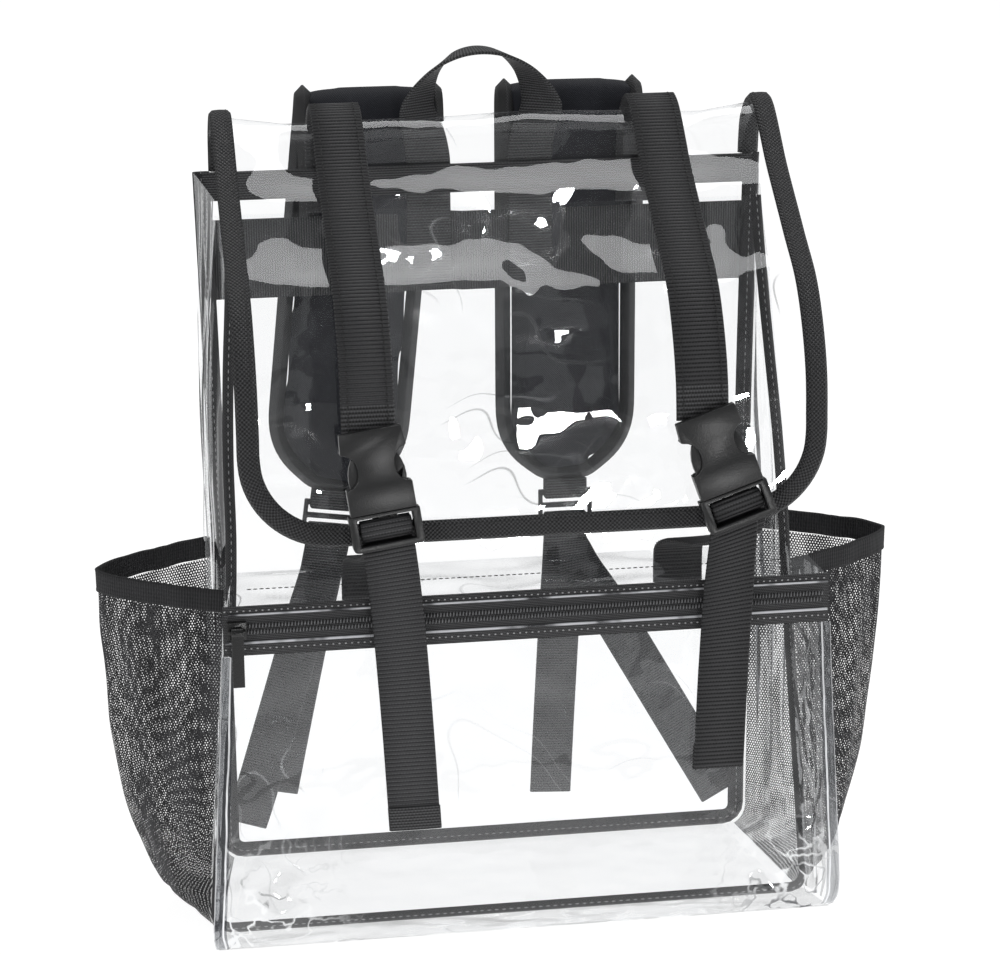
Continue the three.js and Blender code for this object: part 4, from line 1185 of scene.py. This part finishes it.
class BAG_OT_pocket(bpy.types.Operator):
    """Makes the front pocket's face, its top, and strips of painted shade and highlight over its welded side
    edges
    """

    bl_idname = "bag.pocket"
    bl_label = "Front pocket"

    def execute(self, context):
        s = context.scene.bag_film
        paint = film_paint("film_pocket", 0.7, round(s.ripple * 1.2, 3), 1.4)
        grid = refined(wall_grid("pocket_front", 9, high, (1, 0, 0)), 110, 150)
        wide, tall = along(grid.swapaxes(0, 1))[-1], along(grid)[-1]
        size = (round(float(wide), 4), round(float(tall), 4))
        # The face's lower corners get fold lines of painted shade and painted reflection.
        face_paint = film_paint("film_pocket_face", 0.7, round(s.ripple * 1.2, 3), 1.4, 0.0, size)

        def crumple(u, v):
            corner = np.clip(u - 0.45, 0, 1) * 2 * np.abs(2 * v - 1) ** 1.5
            border = np.clip(np.minimum(u, 1 - u) * 25, 0, 1) * np.clip(np.minimum(v, 1 - v) * 25, 0, 1)
            return np.clip(corner, 0, 1) * border

        waves = [
            (5.5, 75, 55, inside),
            (2.2, 36, 28, inside),
            (11.0, 30, 26, crumple),
            (5.0, 13, 12, crumple),
        ]
        wavy = rippled(grid, waves, 70.0, 0.3)
        face = sheet_piece("pocket_face_film", wavy, face_paint)
        finish(face, stands_for=["pocket_front"])

        # Strips laid just over the face's side edges to carry painted shade and a painted highlight.
        def edge(name, part):
            lifted = part + normals_of(part) * 0.0005
            finish(sheet_piece(name, lifted, film_edge_paint()))

        edge("pocket_edge_left", wavy[:, :4])
        edge("pocket_edge_right", wavy[:, -4:][:, ::-1])

        low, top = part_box("pocket_top")
        notches = []
        for side in SIDES:
            middle = STRAP_MIDDLE[side] * MM
            notches.append((middle - NOTCH_HALF, middle + NOTCH_HALF))
        xs = [low.x, *[x for pair in notches for x in pair], top.x]
        xs = np.unique(np.concatenate([np.linspace(a, b, 14) for a, b in zip(xs, xs[1:])]))
        ys = np.concatenate([[top.y], np.linspace(top.y - 0.0075, low.y, 16)])
        z = top.z - 0.0006
        narrow = [lerp(0.985, 1.0, min((top.y - y) / 0.05, 1)) for y in ys]
        lid = np.array([[(x * share, y, z) for x in xs] for y, share in zip(ys, narrow)])
        lid = rippled(lid, [(3.0, 25, 40, inside), (1.2, 12, 18, inside)], 90.0)
        uv = grid_uv(lid)
        faces = [
            f
            for f in quads(len(ys), len(xs))
            if not (
                f[0] < len(xs)
                and any(a - 1e-5 < xs[f[0] % len(xs)] < b - 1e-5 for a, b in notches)
            )
        ]
        item = piece("pocket_top_film", lid.reshape(-1, 3), faces, uv, paint)
        finish(item, stands_for=["pocket_top"])

        web = context.scene.bag_webbing
        # The pale grey stitches are a painted highlight standing in for glints on black thread.
        black, glinting_thread = thread_paint("black_thread", 0.02), thread_paint("thread_glint", 0.35)
        up, front = (0, 0, 1), (0, -1, 0)
        long, short = (0.0026, 0.0007, 0.0006), (0.0012, 0.0008, 0.0006)
        rows = [
            ("pocket_top_stitches", -0.0635, 0.2112, up, 0.146, black, long),
            ("zipper_upper_stitches", -0.0918, 0.2088, front, 0.161, glinting_thread, short),
            ("zipper_lower_stitches", -0.0934, 0.1885, front, 0.161, glinting_thread, short),
        ]
        for name, y, z, out, half, thread, size in rows:
            xs = np.arange(-half, half, web.stitch * 1.1)
            places = np.stack([xs, np.full(len(xs), y), np.full(len(xs), z)], -1)
            ways = np.tile((1.0, 0, 0), (len(xs), 1))
            outs = np.tile(out, (len(xs), 1))
            finish(repeated(name, "bead", places, ways, outs, size, thread))
        return {"FINISHED"}


def upright_grid(node, rows, columns):
    """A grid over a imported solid's box, in its middle from front to back."""
    low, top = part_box(node)
    y = (low.y + top.y) / 2
    xs = [lerp(low.x, top.x, j / columns) for j in range(columns + 1)]
    zs = [lerp(top.z, low.z, i / rows) for i in range(rows + 1)]
    return np.array([[(x, y, z) for x in xs] for z in zs])


HEM_HALF, HEM_FRONT = 0.1612, -0.0921


class BAG_OT_zipper(bpy.types.Operator):
    """Makes the zipper's tape, teeth, slider and pull"""

    bl_idname = "bag.zipper"
    bl_label = "Zipper"

    def execute(self, context):
        s = context.scene.bag_hardware
        cloth = webbing_paint("zipper_cloth", 0.0009, 0.0012, 0.0002)
        tape = sheet_piece("zipper_tape_cloth", upright_grid("zipper_tape", 12, 90), cloth, 0.001)
        finish(tape, stands_for=["zipper_tape"])

        low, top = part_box("zipper_coil")
        count = int((top.x - low.x) / s.tooth_pitch)
        xs = np.linspace(low.x + 0.001, top.x - 0.001, count)
        middle, z = (low.y + top.y) / 2, (low.z + top.z) / 2
        # The coil's mid grey is lighter than its dark plastic: a painted highlight for the teeth's glints.
        coil = plastic_paint("coil_plastic_glint", 0.15, 0.12)
        places, directions = [], []
        for k, x in enumerate(xs):
            for row in (-1, 1):
                places.append((x + row * s.tooth_pitch / 4, middle, z + row * 0.0017))
                directions.append(unit(np.array((0.12, 0, 1.0))))
        outs = np.tile((0, -1.0, 0), (len(places), 1))
        teeth = repeated("zipper_teeth", "bead", places, directions, outs, (0.0028, 0.0009, 0.0022), coil)
        finish(teeth, stands_for=["zipper_coil"])

        # Thin rods along the zipper that carry the hem's painted glints.
        for name, z, height in (("upper", 0.2068, 0.0012), ("lower", 0.1914, 0.0015)):
            xs = np.linspace(-HEM_HALF, HEM_HALF, 60)
            line = (
                np.stack([xs, np.full(60, HEM_FRONT), np.full(60, z)], -1),
                np.tile((0, 0, 1.0), (60, 1)),
                np.tile((0, -1.0, 0), (60, 1)),
            )
            hem = swept(f"zipper_hem_{name}", line, band_section(height, 0.0008), hem_paint())
            finish(hem)

        metal = plastic_paint("zipper_metal", 0.008, 0.22)
        slider = softened("zipper_slider", "zipper_slider_body", 0.0005)
        finish(slider, stands_for=["zipper_slider"], material=metal)
        pull = softened("zipper_pull", "zipper_pull_tab", 0.0008, 3)
        finish(pull, body="pull", stands_for=["zipper_pull"], material=metal)
        return {"FINISHED"}


class BAG_OT_side_pockets(bpy.types.Operator):
    """Makes the mesh side pockets and their elastic hems"""

    bl_idname = "bag.side_pockets"
    bl_label = "Side pockets"

    def execute(self, context):
        for k, side in enumerate(SIDES):
            grid = refined(wall_grid(f"mesh_pocket_{side}", 15, high, (0, 1, 0)), 90, 110)
            waves = [(3.0, 160, 16, inside), (1.4, 60, 9, inside), (1.5, 40, 40, inside)]
            grid = rippled(grid, waves, 120.0 + 9 * k)
            pocket = sheet_piece(f"mesh_pocket_{side}_knit", grid, knit_paint())
            finish(pocket, stands_for=[f"mesh_pocket_{side}"])
            flat = (float(along(grid.swapaxes(0, 1))[-1]), float(along(grid)[-1]))

            hem = refined(wall_grid(f"mesh_elastic_{side}", 15, high, (0, 1, 0)), 8, 110)
            hem = rippled(hem, [(2.0, 400, 16, inside)], 120.0 + 9 * k)
            band = sheet_piece(f"mesh_elastic_{side}_band", hem, elastic_paint(), 0.0018)
            finish(band, stands_for=[f"mesh_elastic_{side}"])
        return {"FINISHED"}


class BAG_OT_bands(bpy.types.Operator):
    """Makes the rim band and the wide band on the back"""

    bl_idname = "bag.bands"
    bl_label = "Bands"

    def execute(self, context):
        plain = webbing_paint("band_webbing", 0.0014, 0.0018, 0.0005)
        rim = sheet_piece("rim_band_webbing", upright_grid("rear_rim_band", 6, 60), plain, 0.0018)
        finish(rim, stands_for=["rear_rim_band"])
        rows = wall_grid("back_band", 2, west, (0, 0, 1))
        wide = np.linspace(0, 1, 12)[None, :, None]
        grid = rows[:, :1] * (1 - wide) + rows[:, 1:] * wide
        band = sheet_piece("back_band_webbing", grid, plain, 0.0018)
        finish(band, stands_for=["back_band"])
        return {"FINISHED"}


def plumped(name, node, s):
    """A pad's solid, remeshed and swollen by air pressure."""
    points, triangles = corners_of(node)
    item = piece(name, points, triangles)
    remesh = item.modifiers.new("even", "REMESH")
    remesh.mode = "VOXEL"
    remesh.voxel_size = s.voxel
    item.data = plain_mesh(item)
    item.modifiers.clear()
    start = np.array([v.co - v.normal * s.shrink for v in item.data.vertices])
    item.data.vertices.foreach_set("co", start.ravel())
    cloth = item.modifiers.new("air", "CLOTH")
    cloth.settings.use_pressure = True
    cloth.settings.uniform_pressure_force = s.pressure
    cloth.settings.effector_weights.gravity = 0
    cloth.settings.quality = 5
    cloth.point_cache.frame_start = 1
    cloth.point_cache.frame_end = 20
    scene = bpy.context.scene
    for number in range(1, 21):
        scene.frame_set(number)
    item.data = plain_mesh(item)
    item.modifiers.clear()
    scene.frame_set(1)
    moved = np.array([v.co for v in item.data.vertices]) - start
    length = np.linalg.norm(moved, axis=1, keepdims=True)
    moved *= np.minimum(1, s.swell / np.maximum(length, 1e-9))
    item.data.vertices.foreach_set("co", (start + moved).ravel())
    level = item.modifiers.new("fine", "SUBSURF")
    level.levels = level.render_levels = 1
    item.data = plain_mesh(item)
    item.modifiers.clear()
    item.data.polygons.foreach_set("use_smooth", [True] * len(item.data.polygons))
    return item


class BAG_OT_pads(bpy.types.Operator):
    """Makes the padded shoulder straps"""

    bl_idname = "bag.pads"
    bl_label = "Shoulder pads"

    def execute(self, context):
        s = context.scene.bag_pads
        for side in SIDES:
            node = f"shoulder_pad_{side}"
            pad = plumped(f"{node}_cloth", node, s)
            finish(pad, stands_for=[node], material=cloth_paint())
            grid = wall_grid(node, 7, lambda q: -q[:, 2] - (q[:, 1] > 0.092) * 1.0, (1, 0, 0))
            places, sides, outs = border_of(refined(grid, 90, 40))
            line = relaxed(even_line((places + sides * s.tape * 0.3, sides, outs), 0.004), 4)
            section = band_section(s.tape, s.tape_thick, 0.0006)
            tape = swept(f"{node}_tape", line, section, tape_paint("pad_tape", 0.0014, 0.0004))
            finish(tape)
        return {"FINISHED"}


class BAG_OT_stage(bpy.types.Operator):
    """Makes the floor, the lights and the camera"""

    bl_idname = "bag.stage"
    bl_label = "Stage"

    def execute(self, context):
        s = context.scene.bag_stage
        scene = context.scene
        reach = 14
        corners = [(-reach, -reach, 0), (reach, -reach, 0), (reach, reach, 0), (-reach, reach, 0)]
        floor = piece("floor", corners, [(0, 1, 2, 3)])
        p = Paint("floor_paint")
        # Painted light: the floor glows fully behind and under the bag and at 0.36 in front, and its colour
        # is also 0.8 as light in front.
        _, y, _ = p.axes(p.spot())
        glow = y.between(-0.55, -0.14)
        tone = p.colour(glow, (s.floor * 0.8,) * 3, (s.floor,) * 3)
        light = p.colour(glow, (0.36, 0.36, 0.36), (1, 1, 1))
        body = p.surface(
            Base_Color=tone, Roughness=0.9, Emission_Color=light, Emission_Strength=s.table
        )
        floor.data.materials.append(p.done(body))
        floor.location.z = -0.0005

        world = bpy.data.worlds.new("room")
        scene.world = world
        world.use_nodes = True
        air = world.node_tree.nodes["Background"]
        air.inputs["Color"].default_value = (0.97, 0.985, 1.0, 1)
        air.inputs["Strength"].default_value = s.world

        middle, behind = (0, 0, 0.22), (0.1, 0.6, 0.22)
        lights = [
            ("key_light", (-1.9, -2.2, 1.5), (0.7, 0.9), 1.0, middle),
            ("fill_light", (2.1, -1.6, 0.6), (0.5, 0.9), 0.5, middle),
            ("front_light", (0.43, -2.4, 0.13), (0.24, 0.2), 0.45, middle),
            ("top_light", (0.35, 0.9, 2.6), (3.2, 0.9), 2.0, behind),
        ]
        for name, place, size, share, target in lights:
            lamp = bpy.data.lights.new(name, "AREA")
            lamp.shape = "RECTANGLE"
            lamp.size, lamp.size_y = size
            lamp.energy = s.key * share
            item = bpy.data.objects.new(name, lamp)
            item.location = place
            aim = Vector(target) - Vector(place)
            item.rotation_euler = aim.to_track_quat("-Z", "Y").to_euler()
            scene.collection.objects.link(item)

        camera = bpy.data.cameras.new("photo_view")
        camera.sensor_width = 36.0
        camera.lens = 36.0 * 3018.0 / 1000.0
        camera.clip_start = 0.05
        camera.clip_end = 60
        view = bpy.data.objects.new("photo_view", camera)
        turn, rise, distance = math.radians(-8.78), math.radians(16.12), 1.6339
        flat = math.cos(rise)
        back = Vector((math.sin(turn) * flat, -math.cos(turn) * flat, math.sin(rise)))
        view.location = Vector((-0.0062, -0.03037, 0.25594)) + back * distance
        roll = Matrix.Rotation(math.radians(-0.5), 3, "Z")
        sight = (-back).to_track_quat("-Z", "Y").to_matrix() @ roll
        view.rotation_euler = sight.to_euler()
        scene.collection.objects.link(view)
        scene.camera = view
        scene.view_settings.view_transform = "Standard"
        return {"FINISHED"}


OPERATORS = (
    BAG_OT_body_film,
    BAG_OT_flap,
    BAG_OT_seams,
    BAG_OT_straps,
    BAG_OT_buckles,
    BAG_OT_pocket,
    BAG_OT_zipper,
    BAG_OT_side_pockets,
    BAG_OT_bands,
    BAG_OT_pads,
    BAG_OT_stage,
)


class BAG_PT_panel(bpy.types.Panel):
    """Lists the backpack's settings and steps"""

    bl_idname = "BAG_PT_panel"
    bl_label = "Backpack"
    bl_space_type = "VIEW_3D"
    bl_region_type = "UI"
    bl_category = "Backpack"

    def draw(self, context):
        for key, group in GROUPS.items():
            box = self.layout.box()
            for name in group.__annotations__:
                box.prop(getattr(context.scene, key), name)
        for operator in OPERATORS:
            self.layout.operator(operator.bl_idname)


def register():
    for group in GROUPS.values():
        bpy.utils.register_class(group)
    for key, group in GROUPS.items():
        setattr(bpy.types.Scene, key, bpy.props.PointerProperty(type=group))
    for operator in OPERATORS:
        bpy.utils.register_class(operator)
    bpy.utils.register_class(BAG_PT_panel)


def unregister():
    bpy.utils.unregister_class(BAG_PT_panel)
    for operator in reversed(OPERATORS):
        bpy.utils.unregister_class(operator)
    for key, group in GROUPS.items():
        delattr(bpy.types.Scene, key)
        bpy.utils.unregister_class(group)


def main():
    register()
    bpy.ops.bag.stage()
    bpy.ops.bag.body_film()
    bpy.ops.bag.flap()
    bpy.ops.bag.seams()
    bpy.ops.bag.straps()
    bpy.ops.bag.buckles()
    bpy.ops.bag.pocket()
    bpy.ops.bag.zipper()
    bpy.ops.bag.side_pockets()
    bpy.ops.bag.bands()
    bpy.ops.bag.pads()


if __name__ == "__main__":
    main()
